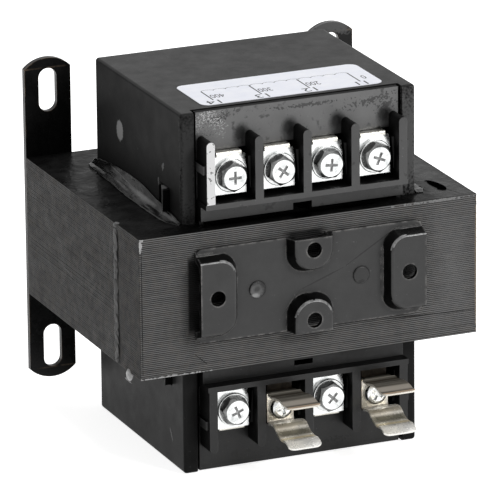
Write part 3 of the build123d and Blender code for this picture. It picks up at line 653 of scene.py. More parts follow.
# Front plate. A steel plate pressed with four hollow bosses, two open at the ends and two open at
# the long edges, each with a tapped hole for an accessory. It is plug welded to the core and
# painted satin black.
plate_half = (63.5 / 2, 25.4 / 2)
plate_at = (-0.65, 1.9)
sheet_steel = 1.2
boss_rise = 3.4
boss_spread = boss_rise * math.tan(math.radians(22))
side_boss_length = 9.9
side_boss_height = 19.8
end_boss_width = 10.6
hole_radius = 2.05
side_hole = 27.0
end_hole = 9.525
root_round = 0.95
root_rise = 0.45
root_in = boss_spread * (1 - root_rise / boss_rise) - 0.05


def pressed_lump(name, x, z, shrink, front, back, corner, grow=boss_spread, rounding=0.7):
    """A boss outline drawn forward and narrowed, with its upright corners rounded."""
    lump = brick(name, (x[0] - grow - shrink, x[1] + grow + shrink), (front, back),
                 (z[0] - grow - shrink, z[1] + grow + shrink))
    edit_edges(lump, ahead_of(front))
    wide = x[1] - x[0] + 2 * (grow + shrink)
    tall = z[1] - z[0] + 2 * (grow + shrink)
    middle = at((x[0] + x[1]) / 2, front, (z[0] + z[1]) / 2)
    bpy.ops.transform.resize(value=((wide - 2 * grow) / wide, 1, (tall - 2 * grow) / tall),
                             center_override=middle)
    leave_edit()
    round_off(lump, corner / 1000, 8, runs_back)
    round_off(lump, rounding / 1000, 3, ahead_of(front))
    return lump


def boss_outlines():
    """Limits in x and z and the corner radius of the flat face of each boss."""
    half_x, half_z = plate_half
    for side in (-1, 1):
        x = sorted((side * (half_x - side_boss_length), side * (half_x + side_boss_length)))
        yield x, (-side_boss_height / 2, side_boss_height / 2), 4.4
        z = sorted((side * (end_hole - end_boss_width / 2), side * (half_z + end_boss_width)))
        yield (-end_boss_width / 2, end_boss_width / 2), z, 5.0


def front_plate():
    cx, cz = plate_at
    half_x, half_z = plate_half
    plate = brick("front_plate_pressing", (cx - half_x, cx + half_x), (-sheet_steel, 0),
                  (cz - half_z, cz + half_z))
    round_off(plate, 0.002, 5, runs_back)
    room = ((cx - half_x, cx + half_x), (-boss_rise - sheet_steel - 1, 1), (cz - half_z, cz + half_z))
    outlines = [([cx + v for v in x], [cz + v for v in z], corner) for x, z, corner in boss_outlines()]
    for x, z, corner in outlines:
        lump = pressed_lump("boss", x, z, 0.0, -sheet_steel - boss_rise, -sheet_steel * 0.5, corner)
        fused(plate, within(lump, brick("room", *room)))
        skirt = pressed_lump("root", [x[0] - root_in, x[1] + root_in], [z[0] - root_in, z[1] + root_in], 0.0,
                             -sheet_steel - root_rise, -sheet_steel * 0.5, corner + 0.6, root_round, 0.1)
        fused(plate, within(skirt, brick("room", *room)))
    for x, z, corner in outlines:
        cut(plate, pressed_lump("hollow", x, z, -sheet_steel * 0.9, -boss_rise, 2.0, corner - 1.0))
    for side in (-1, 1):
        cut(plate, rod("hole", cx + side * side_hole, (-8, 2), cz, hole_radius, 40),
            rod("hole", cx, (-8, 2), cz + side * end_hole, hole_radius, 40))
    return eased(plate, 0.3, 3, 32)


plate_black, tree, shader, place = surface("Satin painted pressing")
edge_mask = use(tree, edge_wear_and_sheen, Place=place, Reach=0.001, Scale=500.0, Amount=1.0)["Mask"]
dust = use(tree, specks, Place=place, Scale=1400.0, Rarity=0.72, Sharpness=24.0)["Mask"]
paint = two_tone(tree, place, 160.0, grey(0.022), grey(0.034))
# painted shade: dark in the corners round the bosses
paint = blend(tree, use(tree, corner_shade, Reach=0.0025, Amount=1.8)["Mask"], paint, grey(0.001))
# pale along the edges: worn paint, and painted highlights on the boss edges
paint = blend(tree, edge_mask, paint, grey(0.2, 0.03))
paint = blend(tree, sums(tree, "MULTIPLY", dust, 0.35), paint, grey(0.2))
feed(tree, shader.inputs["Base Color"], marked(tree, place, paint, [
    ((17.4, -1.2, 9.4), (9.4, 1.0, 0.2), (0, -30.5, 0), 0.25, grey(0.008)),
    ((3.0, -1.2, 2.3), (6.8, 1.0, 0.2), (0, -20, 0), 0.25, grey(0.008)),
    ((-6.1, -1.2, -3.5), (4.4, 1.0, 0.16), (0, -52, 0), 0.25, grey(0.01)),
    ((-20.0, -4.6, 3.0), (1.2, 1.0, 0.3), (0, 30, 0), 0.8, grey(0.12)),
    ((-15.3, -1.6, 1.8), (2.9, 0.5, 2.9), (0, 0, 0), 0.1, grey(0.006)),
    ((-15.9, -1.7, 1.5), (2.3, 0.7, 2.4), (0, 0, 0), 0.2, grey(0.11), 0.0, 2.0),
    ((-15.6, -1.7, 2.0), (1.2, 0.7, 1.1), (0, 0, 0), 0.2, grey(0.03), 0.0, 2.0),
    ((-16.2, -1.7, 0.3), (1.5, 0.7, 0.8), (0, 0, 0), 0.2, grey(0.3), 0.0, 1.8),
    ((14.0, -1.6, 1.8), (2.9, 0.5, 2.9), (0, 0, 0), 0.2, grey(0.02), 0.0, 3.0),
    ((14.0, -1.7, 0.2), (1.0, 0.7, 0.4), (0, 0, 0), 0.5, grey(0.002)),
]))
dulled(tree, shader, place, 420.0, 0.32, 0.46)
shader.inputs["Specular IOR Level"].default_value = 0.35
grained(tree, shader, 0.3, 0.00006, place, 2200.0, 3.0)
# boss flanks: painted near black as a dark reflection, with a pale painted highlight along their edges
plate_flank_dark_reflection, tree, shader, place = surface("Boss flanks, painted dark reflection")
edge_mask = use(tree, edge_wear_and_sheen, Place=place, Reach=0.0009, Scale=700.0, Amount=0.8)["Mask"]
paint = two_tone(tree, place, 400.0, grey(0.001), grey(0.004))
feed(tree, shader.inputs["Base Color"], blend(tree, edge_mask, paint, grey(0.1)))
dulled(tree, shader, place, 420.0, 0.25, 0.4)
shader.inputs["Specular IOR Level"].default_value = 0.05
plate = front_plate()
fitted(plate, plate_black, "painted_steel_plate", "transformer", "front_plate")
flank_span = (at(0, -boss_rise - sheet_steel * 0.8, 0).y, at(0, -sheet_steel - root_rise * 1.2, 0).y)
second_skin(plate, plate_flank_dark_reflection,
            lambda normal, centre: abs(normal.y) < 0.6 and flank_span[0] < centre.y < flank_span[1])
# painted highlight: the rounded upper edges of the bosses and the open left edge are painted pale
plate_edge_highlight, tree, shader, place = surface("Painted highlight on the upper edges")
feed(tree, shader.inputs["Base Color"], two_tone(tree, place, 700.0, grey(0.05), grey(0.34)))
dulled(tree, shader, place, 420.0, 0.25, 0.4)
open_edge = at(plate_at[0] - plate_half[0] + 0.6, 0, 0).x


def lit_upper_edge(normal, centre):
    bright_top = normal.z > 0.2 and -0.97 < normal.y < -0.55
    return centre.y < flank_span[0] + 0.0008 and (bright_top or (
        centre.x < open_edge and normal.x < -0.25 and -0.97 < normal.y < -0.3))


second_skin(plate, plate_edge_highlight, lit_upper_edge)

# Plug welds. Two spots of weld through the front plate hold it to the core. They stand a little
# proud and are painted over.
plug_spread = 14.65
plug_faces = (-1.68, -0.2)
plug_radius = 2.35
plugs = []
for side in (-1, 1):
    plug = rod("plug", plate_at[0] + side * plug_spread, plug_faces, plate_at[1] - 0.1, plug_radius, 40)
    round_off(plug, 0.00045, 4, ahead_of(plug_faces[0]))
    bpy.ops.object.shade_smooth_by_angle(angle=math.radians(50))
    plugs.append(plug)
fitted(one_piece("plug_weld_spots", plugs), plate_black, "weld_metal", "transformer", "plate_plug_welds")

# Bobbin. The plastic former that the coil is wound on: a square tube with two flanges. It is inside
# the covers and keeps the shape from the CAD.
former, tree, shader, place = surface("Bobbin plastic")
feed(tree, shader.inputs["Base Color"], two_tone(tree, place, 300.0, grey(0.03), grey(0.05)))
dulled(tree, shader, place, 900.0, 0.5, 0.65)


def dress_node(node, material):
    """Gives a carried-over CAD node its material."""
    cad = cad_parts[node]
    cad.data.materials.clear()
    cad.data.materials.append(material)


dress_node("bobbin", former)

# Windings. Enamelled copper wire wound in layers, the primary inside and the secondary outside it,
# with leads to the terminal tabs. The turns show as fine ribs.
wire, tree, shader, place = surface("Enamelled copper")
turns = add(tree, "TexWave", {"wave_type": "BANDS", "bands_direction": "Y"}, Vector=place, Scale=550.0,
            Distortion=0.6)
feed(tree, shader.inputs["Base Color"], blend(tree, turns.outputs["Fac"], (0.16, 0.04, 0.012, 1),
                                             (0.36, 0.11, 0.035, 1)))
dulled(tree, shader, place, 500.0, 0.25, 0.4)
raised(tree, shader, 0.8, 0.0003, turns.outputs["Fac"])
for node in ("primary_winding", "secondary_winding", "primary_leads", "secondary_leads"):
    dress_node(node, wire)

# Coil insulation. Amber film between the windings and round the outside of the coil.
amber, tree, shader, place = surface("Amber film")
feed(tree, shader.inputs["Base Color"],
     two_tone(tree, place, 140.0, (0.42, 0.26, 0.08, 1), (0.55, 0.38, 0.14, 1)))
dulled(tree, shader, place, 300.0, 0.2, 0.35)
for node in ("layer_insulation", "coil_wrap"):
    dress_node(node, amber)

# Covers. Two equal moulded boxes close off the ends of the coil above and below the core. Each is
# open at the front between two narrow pillars, and has a latch window low in each side.
cover_half = 33.05
cover_front = 6.5
cover_back = 65.3
cover_height = 29.8
cover_wall = 1.5
cover_corner = 0.9
pillar = 3.85
opening_half = cover_half - pillar
panel_front = 7.4
panel_thickness = 1.8
panel_fit = 0.25
cover_top = core_half + cover_height
latch = ((14.5, 21.5), (core_half + 1.4, core_half + 7.8))


def cover(name, side):
    """side is 1 for the upper cover and -1 for the lower one."""
    def level(low, high):
        return sorted((side * low, side * high))
    shell = brick(name, (-cover_half, cover_half), (cover_front, cover_back), level(core_half, cover_top))
    foot_z = at(0, 0, side * core_half).z
    round_off(shell, cover_corner / 1000, 5,
              lambda a, b: not (abs(a.z - foot_z) < 1e-5 and abs(b.z - foot_z) < 1e-5))
    inside = cover_half - cover_wall
    cut(shell,
        brick("hollow", (-inside, inside), (cover_front + cover_wall, cover_back - cover_wall),
              level(core_half - 1, cover_top - cover_wall)),
        brick("opening", (-opening_half, opening_half),
              (cover_front - 1, panel_front + panel_thickness + panel_fit),
              level(core_half - 1, cover_top + 1)),
        brick("windows", (-cover_half - 1, cover_half + 1), latch[0], level(*latch[1])))
    return eased(shell, 0.16, 2, 35)


def satin_plastic(name, low, high, roughness, shine, marks, grains=()):
    """Black moulding plastic with a fine skin, pale rubs, marks at given places and painted shade in its
    corners.
    """
    material, tree, shader, place = surface(name)
    dust = use(tree, specks, Place=place, Scale=1000.0, Rarity=0.71, Sharpness=20.0)["Mask"]
    edge_mask = use(tree, edge_wear_and_sheen, Place=place, Reach=0.0004, Scale=300.0, Amount=0.4)["Mask"]
    colour = two_tone(tree, place, 60.0, grey(low), grey(high))
    colour = blend(tree, sums(tree, "MULTIPLY", dust, 0.25), colour, grey(0.12))
    colour = blend(tree, edge_mask, colour, grey(0.09))
    # painted shade: dark in the corners of the moulding
    colour = blend(tree, use(tree, corner_shade, Reach=0.0015, Amount=1.2)["Mask"], colour, grey(0.001))
    colour = sprinkled(tree, place, marked(tree, place, colour, marks), grains)
    feed(tree, shader.inputs["Base Color"], colour)
    shader.inputs["Specular IOR Level"].default_value = shine
    dulled(tree, shader, place, 220.0, roughness - 0.05, roughness + 0.06)
    grained(tree, shader, 0.3, 0.00006, place, 2600.0, 3.0)
    return material


cover_black = satin_plastic("Upper cover plastic", 0.008, 0.012, 0.42, 0.03, [
    ((-31.1, 6.5, 34.0), (2.4, 1.2, 17.0), (0, 0, 0), 0.3, grey(0.045), 1.0, 2.0),
    ((31.1, 6.5, 34.0), (2.4, 1.2, 17.0), (0, 0, 0), 0.4, grey(0.1), 1.0, 2.0),
    ((-cover_half, 48.2, 33.3), (1.5, 2.4, 3.0), (0, 0, 0), 0.12, grey(0.3)),
    ((-cover_half, 18.7, 31.7), (1.5, 0.7, 1.3), (30, 0, 0), 0.4, grey(0.14)),
    ((-cover_half, 21.8, 26.9), (1.5, 0.5, 1.2), (0, 0, 0), 0.3, grey(0.12)),
    ((-cover_half, 7.0, 40.0), (1.5, 0.35, 8.0), (0, 0, 0), 0.3, grey(0.05)),
])
cover_top_black = satin_plastic("Upper cover plastic, top", 0.009, 0.014, 0.38, 0.08, [
    ((16.2, 36.0, cover_top), (8.4, 0.3, 1.0), (0, 0, 10.8), 0.3, grey(0.002)),
    ((-30.9, 17.0, cover_top), (2.1, 0.3, 1.0), (0, 0, -69), 0.3, grey(0.002)),
    ((12.0, 60.0, cover_top), (10.0, 7.0, 1.0), (0, 0, 8), 0.9, grey(0.008), 0.0, 1.5),
], [
    ((4.0, 47.0, cover_top), (13.0, 9.0, 1.0), 0.57, grey(0.0015)),
    ((-4.0, 38.0, cover_top), (12.0, 5.0, 1.0), 0.6, grey(0.0015)),
    ((-28.0, 12.0, cover_top), (4.0, 6.0, 1.0), 0.62, grey(0.0015)),
])
lower_cover_black = satin_plastic("Lower cover plastic", 0.01, 0.014, 0.42, 0.06, [
    ((-cover_half, 45.1, -35.0), (1.5, 2.4, 0.35), (0, 0, 0), 0.3, grey(0.3)),
    ((-cover_half, 15.4, -40.6), (1.5, 0.5, 1.9), (-28, 0, 0), 0.4, grey(0.12)),
])
upper_cover = cover("upper_cover_moulding", 1)
fitted(upper_cover, cover_black, "cover_plastic", "transformer", "upper_cover")
top_edge = at(0, 0, cover_top - 1).z
second_skin(upper_cover, cover_top_black, lambda normal, centre: normal.z > 0.6 and centre.z > top_edge)
fitted(cover("lower_cover_moulding", -1), lower_cover_black, "cover_plastic", "transformer", "lower_cover")

# Terminal blocks. One moulding fills the front of each cover: a panel, a ledge and five barriers
# that part four terminals, each with a post behind its tab. The lower one is the same moulding
# turned over, with a slot in its band where the upper one has a notch.
block_half = 28.45
barrier_front = 0.9
barrier_width = 2.3
barrier_top = core_half + 23.1
terminal_pitch = 13.5
band_front = 4.5
band = (core_half + 1.0, core_half + 4.95)
ledge = (core_half + 4.95, core_half + 6.35)
pocket_top = core_half + 18.95
pocket_back = 12.5
wall_back = 14.0
tab_front = 4.95
tab_back = 5.75
tab_half = 3.5
slot_play = 0.15
catch_proud = 2.2
post = (core_half + 8.2, core_half + 17.85)


def barrier(x, outer):
    """An upright wall with a round top and a guide rib on each side."""
    half = barrier_width / 2
    wall = brick("barrier", (x - half, x + half), (barrier_front, panel_front + 0.5),
                 (ledge[0] + 0.3, barrier_top - half))
    fused(wall, rod("round top", x, (barrier_front, panel_front + 0.5), barrier_top - half, half, 32),
          brick("deep part", (x - half, x + half), (panel_front - 0.5, pocket_back + 0.5),
                (ledge[0] + 0.3, pocket_top + 0.5)))
    for side in (-1, 1):
        near, tip = x + side * (half - 0.2), x + side * (half + 0.7)
        if side == outer:
            rib = brick("end rib", sorted((near, tip)), (barrier_front + 0.8, panel_front + 0.3),
                        (core_half + 14.4, core_half + 16.7))
        else:
            rib = brick("rib", sorted((near, tip)), (4.1, 6.7), (core_half + 8.6, core_half + 17.2))
            low_z = at(0, 0, core_half + 9.0).z
            edit_edges(rib, lambda a, b: a.z < low_z and b.z < low_z)
            bpy.ops.transform.resize(value=(0.4, 1, 1), center_override=at(near, 5, core_half + 8.6))
            leave_edit()
        fused(wall, rib)
    return wall


def terminal_block(name, notch):
    half = block_half
    body = brick(name, (-half, half), (panel_front, panel_front + panel_thickness),
                 (pocket_top, cover_top - panel_fit))
    parts = [
        brick("shelf", (-half, half), (panel_front, wall_back), (pocket_top, pocket_top + 1.5)),
        brick("back", (-half, half), (pocket_back, wall_back), (ledge[0], pocket_top + 0.4)),
        brick("ledge", (-half, half), (barrier_front, wall_back - 0.2), ledge),
        brick("band", (-half, half), (band_front, band_front + 1.6), (band[0], band[1] + 0.4)),
    ]
    for number in range(5):
        x = (number - 2) * terminal_pitch
        parts.append(barrier(x, {0: -1, 4: 1}.get(number)))
    for side in (-1, 1):
        inner = side * (2 * terminal_pitch + barrier_width / 2 - 0.2)
        parts.append(brick("end wall", sorted((inner, side * half)), (panel_front + 0.02, pocket_back + 0.4),
                           (ledge[0] + 0.4, pocket_top + 0.4)))
        parts.append(brick("leg", sorted((side * (half - 1.2), side * (half - 0.02))),
                           (band_front + 1.4, pocket_back), (core_half, ledge[0] + 0.4)))
        outside = cover_half - cover_wall - 0.25
        latch_low, latch_high = latch[1][0] + 0.25, latch[1][1] - 0.25
        parts.append(brick("arm", sorted((side * (outside - 1.2), side * outside)), (8.25, 21.25),
                           (latch_low, latch_high)))
        parts.append(brick("arm root", sorted((side * (half - 1.1), side * (outside - 0.1))), (8.25, 9.45),
                           (latch_low + 0.05, latch_high - 0.05)))
        catch = brick("catch", sorted((side * (outside - 0.3), side * (cover_half - 0.4))), (14.75, 21.2),
                      (latch_low + 0.02, latch_high - 0.02))
        catch_face = at(side * (cover_half - 0.4), 14.75, 0)
        pull(catch, lambda spot: abs(spot.x - catch_face.x) < 1e-5 and abs(spot.y - catch_face.y) < 1e-5,
             x=side * catch_proud)
        parts.append(catch)
    for number in range(4):
        x = (number - 1.5) * terminal_pitch
        parts.append(brick("post", (x - tab_half, x + tab_half), (tab_back, pocket_back + 0.3), post))
    fused(body, *parts)
    cut(body, brick("notch", (-2.65, 2.65), (band_front - 1, band_front + 2), notch))
    for number in range(4):
        x = (number - 1.5) * terminal_pitch
        cut(body, brick("tab slot", (x - tab_half - slot_play, x + tab_half + slot_play),
                        (pocket_back - 0.3, wall_back + 1), (pocket_top - 1.1, pocket_top + 0.001)),
            rod("screw hole", x, (tab_back - 1, wall_back + 1), core_half + 13.2, 2.6, 32))
    return body


def block_plastic(name, low, high, shine, roughness, dirt_amount, fleck_amount, marks, grains=()):
    material, tree, shader, place = surface(name)
    colour = two_tone(tree, place, 90.0, grey(low), grey(high))
    dirt = use(tree, specks, Place=place, Scale=420.0, Rarity=0.63, Sharpness=14.0)["Mask"]
    colour = blend(tree, sums(tree, "MULTIPLY", dirt, dirt_amount), colour, grey(0.004))
    flecks = use(tree, specks, Place=place, Scale=1700.0, Rarity=0.72, Sharpness=30.0)["Mask"]
    colour = blend(tree, sums(tree, "MULTIPLY", flecks, fleck_amount), colour, grey(0.3))
    edge_mask = use(tree, edge_wear_and_sheen, Place=place, Reach=0.0004, Scale=300.0, Amount=0.4)["Mask"]
    colour = blend(tree, edge_mask, colour, grey(0.12))
    # painted shade: dark in the corners and pockets of the block
    colour = blend(tree, use(tree, corner_shade, Reach=0.004, Amount=1.3)["Mask"], colour, grey(0.001))
    colour = sprinkled(tree, place, marked(tree, place, colour, marks), grains)
    feed(tree, shader.inputs["Base Color"], colour)
    dulled(tree, shader, place, 600.0, roughness - 0.06, roughness + 0.08)
    shader.inputs["Specular IOR Level"].default_value = shine
    grained(tree, shader, 0.35, 0.00008, place, 1600.0, 4.0)
    return material


block_black = block_plastic("Terminal block plastic", 0.005, 0.01, 0.03, 0.45, 0.5, 0.1, [
    ((-34.3, 16.2, 23.6), (1.2, 0.45, 3.2), (0, 0, 0), 0.1, grey(0.25), 1.0, 5.0),
    ((-34.0, 17.6, 26.4), (1.5, 1.6, 0.35), (0, 0, 0), 0.1, grey(0.2), 1.0, 4.0),
])
# painted light: the outer faces of the end ribs, lighter than the rest of the moulding
block_rib_lit = block_plastic("Terminal block plastic, ribs in painted light", 0.05, 0.07, 0.2, 0.45, 0.5, 0.1, [])
# painted light: the front faces of the barriers, the ledge and the band of the upper block, lighter than the
# rest
block_fronts_lit = block_plastic("Terminal block plastic, front faces in painted light", 0.05, 0.068, 0.4, 0.36, 0.6, 0.3, [])
# the upper panel: dust, and painted lighter as lit
block_panel_dust_and_light = block_plastic("Terminal block plastic, dusty panel in painted light", 0.102, 0.138, 0.6, 0.32, 0.8, 0.35, [
    # painted reflection: a dark soft smudge up and to the left of each barrier top, the barrier's dark side
    # mirrored in the panel
    ((x - 2.6, panel_front, 41.6), (2.5, 1.0, 3.4), (0, 24, 0), 0.1, grey(0.0005), 0.0, 1.7)
    for x in (-terminal_pitch, 0.0, terminal_pitch, 2 * terminal_pitch)
] + [
    ((-21.5, panel_front, 46.5), (2.4, 1.0, 1.1), (0, -20, 0), 1.8, grey(0.006)),
    ((-15.5, panel_front, 42.9), (0.6, 1.0, 0.35), (0, 20, 0), 0.3, grey(0.003)),
    ((20.5, panel_front, 45.8), (5.0, 1.0, 0.7), (0, -10, 0), 1.9, grey(0.008)),
    ((25.2, panel_front, 44.2), (2.2, 1.0, 1.6), (0, 0, 0), 1.6, grey(0.01)),
    ((2.0, panel_front, 46.9), (7.0, 1.0, 0.4), (0, 0, 0), 1.9, grey(0.01)),
], [
    # painted glints: bright specks over the upper left of the panel
    ((-24.6, panel_front, 45.4), (5.0, 1.0, 4.4), 0.54, grey(0.85)),
    ((-25.2, panel_front, 43.4), (3.6, 1.0, 4.4), 0.55, grey(0.004)),
    ((-16.0, panel_front, 47.2), (12.0, 1.0, 0.9), 0.64, grey(0.01)),
    ((21.0, panel_front, 47.0), (9.0, 1.0, 1.0), 0.66, grey(0.01)),
])
# painted shade: the front faces and ribs of the lower block, kept dark as shade under the core
block_below_shaded = block_plastic("Terminal block plastic, lower front in painted shade", 0.011, 0.017, 0.3, 0.36, 0.6, 0.15, [
    ((-5.2, panel_front, -46.2), (3.0, 1.0, 0.7), (0, -10, 0), 1.9, grey(0.003)),
    ((9.3, panel_front, -45.7), (3.2, 1.0, 0.5), (0, 0, 0), 1.9, grey(0.003)),
    ((25.8, panel_front, -45.0), (1.8, 1.0, 1.2), (0, 0, 0), 1.9, grey(0.003)),
])

# pale barrier front: the front of the first barrier is painted near white, with dark specks
pale_barrier_front, tree, shader, place = surface("Bright barrier edge")
spots = use(tree, specks, Place=place, Scale=900.0, Rarity=0.6, Sharpness=20.0)["Mask"]
feed(tree, shader.inputs["Base Color"], blend(tree, spots, grey(0.85), grey(0.2)))
dulled(tree, shader, place, 600.0, 0.25, 0.45)


def faces_front(normal, centre):
    return normal.y < -0.75 and abs(centre.x) < at(block_half + 0.5, 0, 0).x


first_wall = (at(-28.3, 0, 0).x, at(-25.7, 0, 0).x, at(0, barrier_front + 0.6, 0).y)

upper_block = terminal_block("upper_terminal_block_moulding", (band[0] - 1, core_half + 2.8))
eased(upper_block, 0.2, 2, 35)
fitted(upper_block, block_black, "terminal_block_plastic", "transformer", "upper_terminal_block")
panel_line = at(0, panel_front - 0.4, 0).y
second_skin(upper_block, block_fronts_lit, faces_front)
second_skin(upper_block, block_panel_dust_and_light,
            lambda normal, centre: faces_front(normal, centre) and centre.y > panel_line)
rib_tip = at(2 * terminal_pitch + barrier_width / 2 + 0.5, 0, 0).x


def rib_outside(normal, centre):
    return abs(normal.x) > 0.9 and abs(centre.x) > rib_tip and centre.y < at(0, panel_front, 0).y


second_skin(upper_block, block_rib_lit, rib_outside)
ledge_top = at(0, 0, ledge[1]).z
second_skin(upper_block, pale_barrier_front, lambda normal, centre: normal.y < -0.2 and centre.z > ledge_top
            and first_wall[0] < centre.x < first_wall[1] and centre.y < first_wall[2])
lower_block = terminal_block("lower_terminal_block_moulding", (core_half + 2.1, core_half + 3.5))
only(lower_block)
bpy.ops.transform.rotate(value=math.radians(180), orient_axis="Y", center_override=at(0, 0, 0))
settle(lower_block, "lower_terminal_block_moulding")
eased(lower_block, 0.2, 2, 35)
fitted(lower_block, block_black, "terminal_block_plastic", "transformer", "lower_terminal_block")
second_skin(lower_block, block_below_shaded, faces_front)
second_skin(lower_block, block_below_shaded, rib_outside)

# Terminal tabs. A plated brass strip is bent over the top of each post: the front part is tapped
# for the screw, and the upper part runs back through the block to a lead of the coil.
plated, tree, shader, place = surface("Plated brass tab")
feed(tree, shader.inputs["Base Color"],
     two_tone(tree, place, 350.0, (0.62, 0.6, 0.54, 1), (0.78, 0.77, 0.72, 1)))
shader.inputs["Metallic"].default_value = 1.0
dulled(tree, shader, place, 700.0, 0.24, 0.4)
drawn = add(tree, "Mapping", None, Vector=place, Scale=(1500.0, 1500.0, 120.0))
grained(tree, shader, 0.3, 0.00006, drawn.outputs[0], 1.0, 3.0)
# painted shade: the two secondary tabs behind the fuse clips are painted dark
tab_in_shade, tree, shader, place = surface("Brass tab in painted shade")
feed(tree, shader.inputs["Base Color"],
     two_tone(tree, place, 700.0, (0.012, 0.01, 0.008, 1), (0.06, 0.045, 0.03, 1)))
dulled(tree, shader, place, 700.0, 0.35, 0.5)
shader.inputs["Metallic"].default_value = 0.6
for number in (1, 2, 3, 4):
    dress_node("primary_tab_%d" % number, plated)
    dress_node("secondary_tab_%d" % number, tab_in_shade if number in (2, 4) else plated)

# Clamp plates. A square of zinc plated steel sits under each screw and presses the wire on the tab.
# One corner of each is bent back so that it can't turn.
first_x = -1.5 * terminal_pitch
screw_height = core_half + 12.75
plate_size = (9.0, 10.3)
plate_faces = (4.1, 4.95)
bent_corner = 3.4
corner_drop = 0.75
screw_radius = 2.085


def clamp_plate():
    x = first_x
    half_x, half_z = plate_size[0] / 2, plate_size[1] / 2
    plate = brick("plate", (x - half_x, x + half_x), plate_faces,
                  (screw_height - half_z, screw_height + half_z))
    cut(plate, rod("hole", x, (0, 10), screw_height, screw_radius + 0.12, 48))
    corner = at(x + half_x, plate_faces[0], screw_height + half_z)
    edit_whole(plate)
    bpy.ops.mesh.bisect(plane_co=corner - Vector((bent_corner / 1000, 0, 0)), plane_no=(1, 0, 1))
    leave_edit()
    pull(plate, lambda spot: (spot - corner).xz.length < 0.0001, y=corner_drop)
    return eased(plate, 0.12, 2, 35)


def zinc_plating(name, low, high, roughness, shade_amount=0.5, metal=1.0, shine=0.5):
    material, tree, shader, place = surface(name)
    colour = two_tone(tree, place, 420.0, (low, low * 1.03, low * 1.03, 1), (high, high * 1.01, high, 1))
    # painted shade: dark in the corners and recesses of the zinc parts
    colour = blend(tree, use(tree, corner_shade, Reach=0.0009, Amount=shade_amount)["Mask"], colour, grey(0.04))
    feed(tree, shader.inputs["Base Color"], colour)
    shader.inputs["Metallic"].default_value = metal
    shader.inputs["Specular IOR Level"].default_value = shine
    dulled(tree, shader, place, 900.0, roughness - 0.08, roughness + 0.1)
    grained(tree, shader, 0.12, 0.00004, place, 1100.0, 2.0)
    return material


zinc = zinc_plating("Zinc plate", 0.66, 0.95, 0.26)
# painted dark reflection: the hex flanks and the chamfer of the screw heads are painted dark
zinc_flank_dark_reflection = zinc_plating("Zinc plate, flanks in painted dark reflection", 0.0, 0.05, 0.3, metal=0.2, shine=0.1)
zinc_chamfer_dark_reflection = zinc_plating("Zinc plate, chamfer in painted dark reflection", 0.06, 0.3, 0.3)
zinc_head = zinc_plating("Zinc plate, handled heads", 0.42, 0.98, 0.24)
zinc_recess, tree, shader, place = surface("Zinc plate, struck recess")
feed(tree, shader.inputs["Base Color"], two_tone(tree, place, 1400.0, grey(0.12), grey(0.5)))
dulled(tree, shader, place, 900.0, 0.35, 0.5)
shader.inputs["Metallic"].default_value = 0.3

# Clamp screws. Zinc plated hexagon heads with a washer flange rolled on and a cross recess, so they
# take a spanner or a screwdriver. Each turns in its tab and carries its clamp plate.
head_top = 0.9
flange_faces = (3.4, 4.1)
flange_radius = 4.45
hex_radius = 3.5 / math.cos(math.radians(30))
crown_radius = 3.1
crown_flare = 2.0
recess_depth = 0.5


def clamp_screw():
    x = first_x
    head = rod("head", x, (head_top, flange_faces[0] + 0.2), screw_height, hex_radius, 6)
    crown = rod("crown", x, (head_top, flange_faces[0] + 0.6), screw_height, crown_radius, 64)
    back_y = at(0, flange_faces[0], 0).y
    edit_edges(crown, lambda a, b: a.y > back_y and b.y > back_y)
    bpy.ops.transform.resize(value=(crown_flare, 1, crown_flare), center_override=at(x, 0, screw_height))
    leave_edit()
    within(head, crown)
    flange = rod("flange", x, flange_faces, screw_height, flange_radius, 64)
    round_off(flange, 0.00035, 3, ahead_of(flange_faces[0]))
    shank = rod("shank", x, (flange_faces[1] - 0.3, 10.5), screw_height, screw_radius, 32)
    fused(head, flange, shank)
    for across, along in ((2.0, 0.42), (0.42, 2.0)):
        tool = brick("cross", (x - across, x + across), (head_top - 0.2, head_top + recess_depth),
                     (screw_height - along, screw_height + along))
        deep_y = at(0, head_top + recess_depth, 0).y - 1e-5
        edit_edges(tool, lambda a, b: a.y > deep_y and b.y > deep_y)
        bpy.ops.transform.resize(value=(0.62, 1, 0.62), center_override=at(x, 0, screw_height))
        leave_edit()
        cut(head, tool)
    return eased(head, 0.08, 2, 28)


first_plate, first_screw = clamp_plate(), clamp_screw()
flank_back = at(0, flange_faces[0] + 0.1, 0).y
recess_front, recess_back = at(0, head_top + 0.12, 0).y, at(0, head_top + recess_depth + 0.1, 0).y
# each terminal with a clamp, and how far its screw is turned, in degrees
settings = [("primary", 1, 0), ("primary", 2, 52), ("primary", 3, 84), ("primary", 4, 68),
            ("secondary", 1, 22), ("secondary", 3, 47)]
for row, number, turned in settings:
    rise = 0 if row == "primary" else -2 * screw_height
    x = (number - 2.5) * terminal_pitch
    name = "%s_clamp_plate_%d" % (row, number)
    plate = copy_of(first_plate, name + "_pressed", x - first_x, 0, rise)
    fitted(plate, zinc, "clamp_plate_zinc", "%s_clamp_%d" % (row, number), name)
    name = "%s_clamp_screw_%d" % (row, number)
    screw = copy_of(first_screw, name + "_turned", x - first_x, 0, rise)
    only(screw)
    bpy.ops.transform.rotate(value=math.radians(turned), orient_axis="Y",
                             center_override=at(x, 0, screw_height + rise))
    settle(screw, name + "_turned")
    fitted(screw, zinc_head, "clamp_screw_zinc", "%s_screw_%d" % (row, number), name)
    # painted dark reflection on the hex flanks and the chamfer
    second_skin(screw, zinc_flank_dark_reflection, lambda normal, centre: abs(normal.y) < 0.3 and centre.y < flank_back)
    second_skin(screw, zinc_chamfer_dark_reflection, lambda normal, centre: -0.93 < normal.y < -0.3 and centre.y < flank_back)
    axis = at(x, 0, screw_height + rise)
    second_skin(screw, zinc_recess, lambda normal, centre: (centre - axis).xz.length < 0.0022
                and recess_front < centre.y < recess_back)
for spare in (first_plate, first_screw):
    bpy.data.objects.remove(spare)

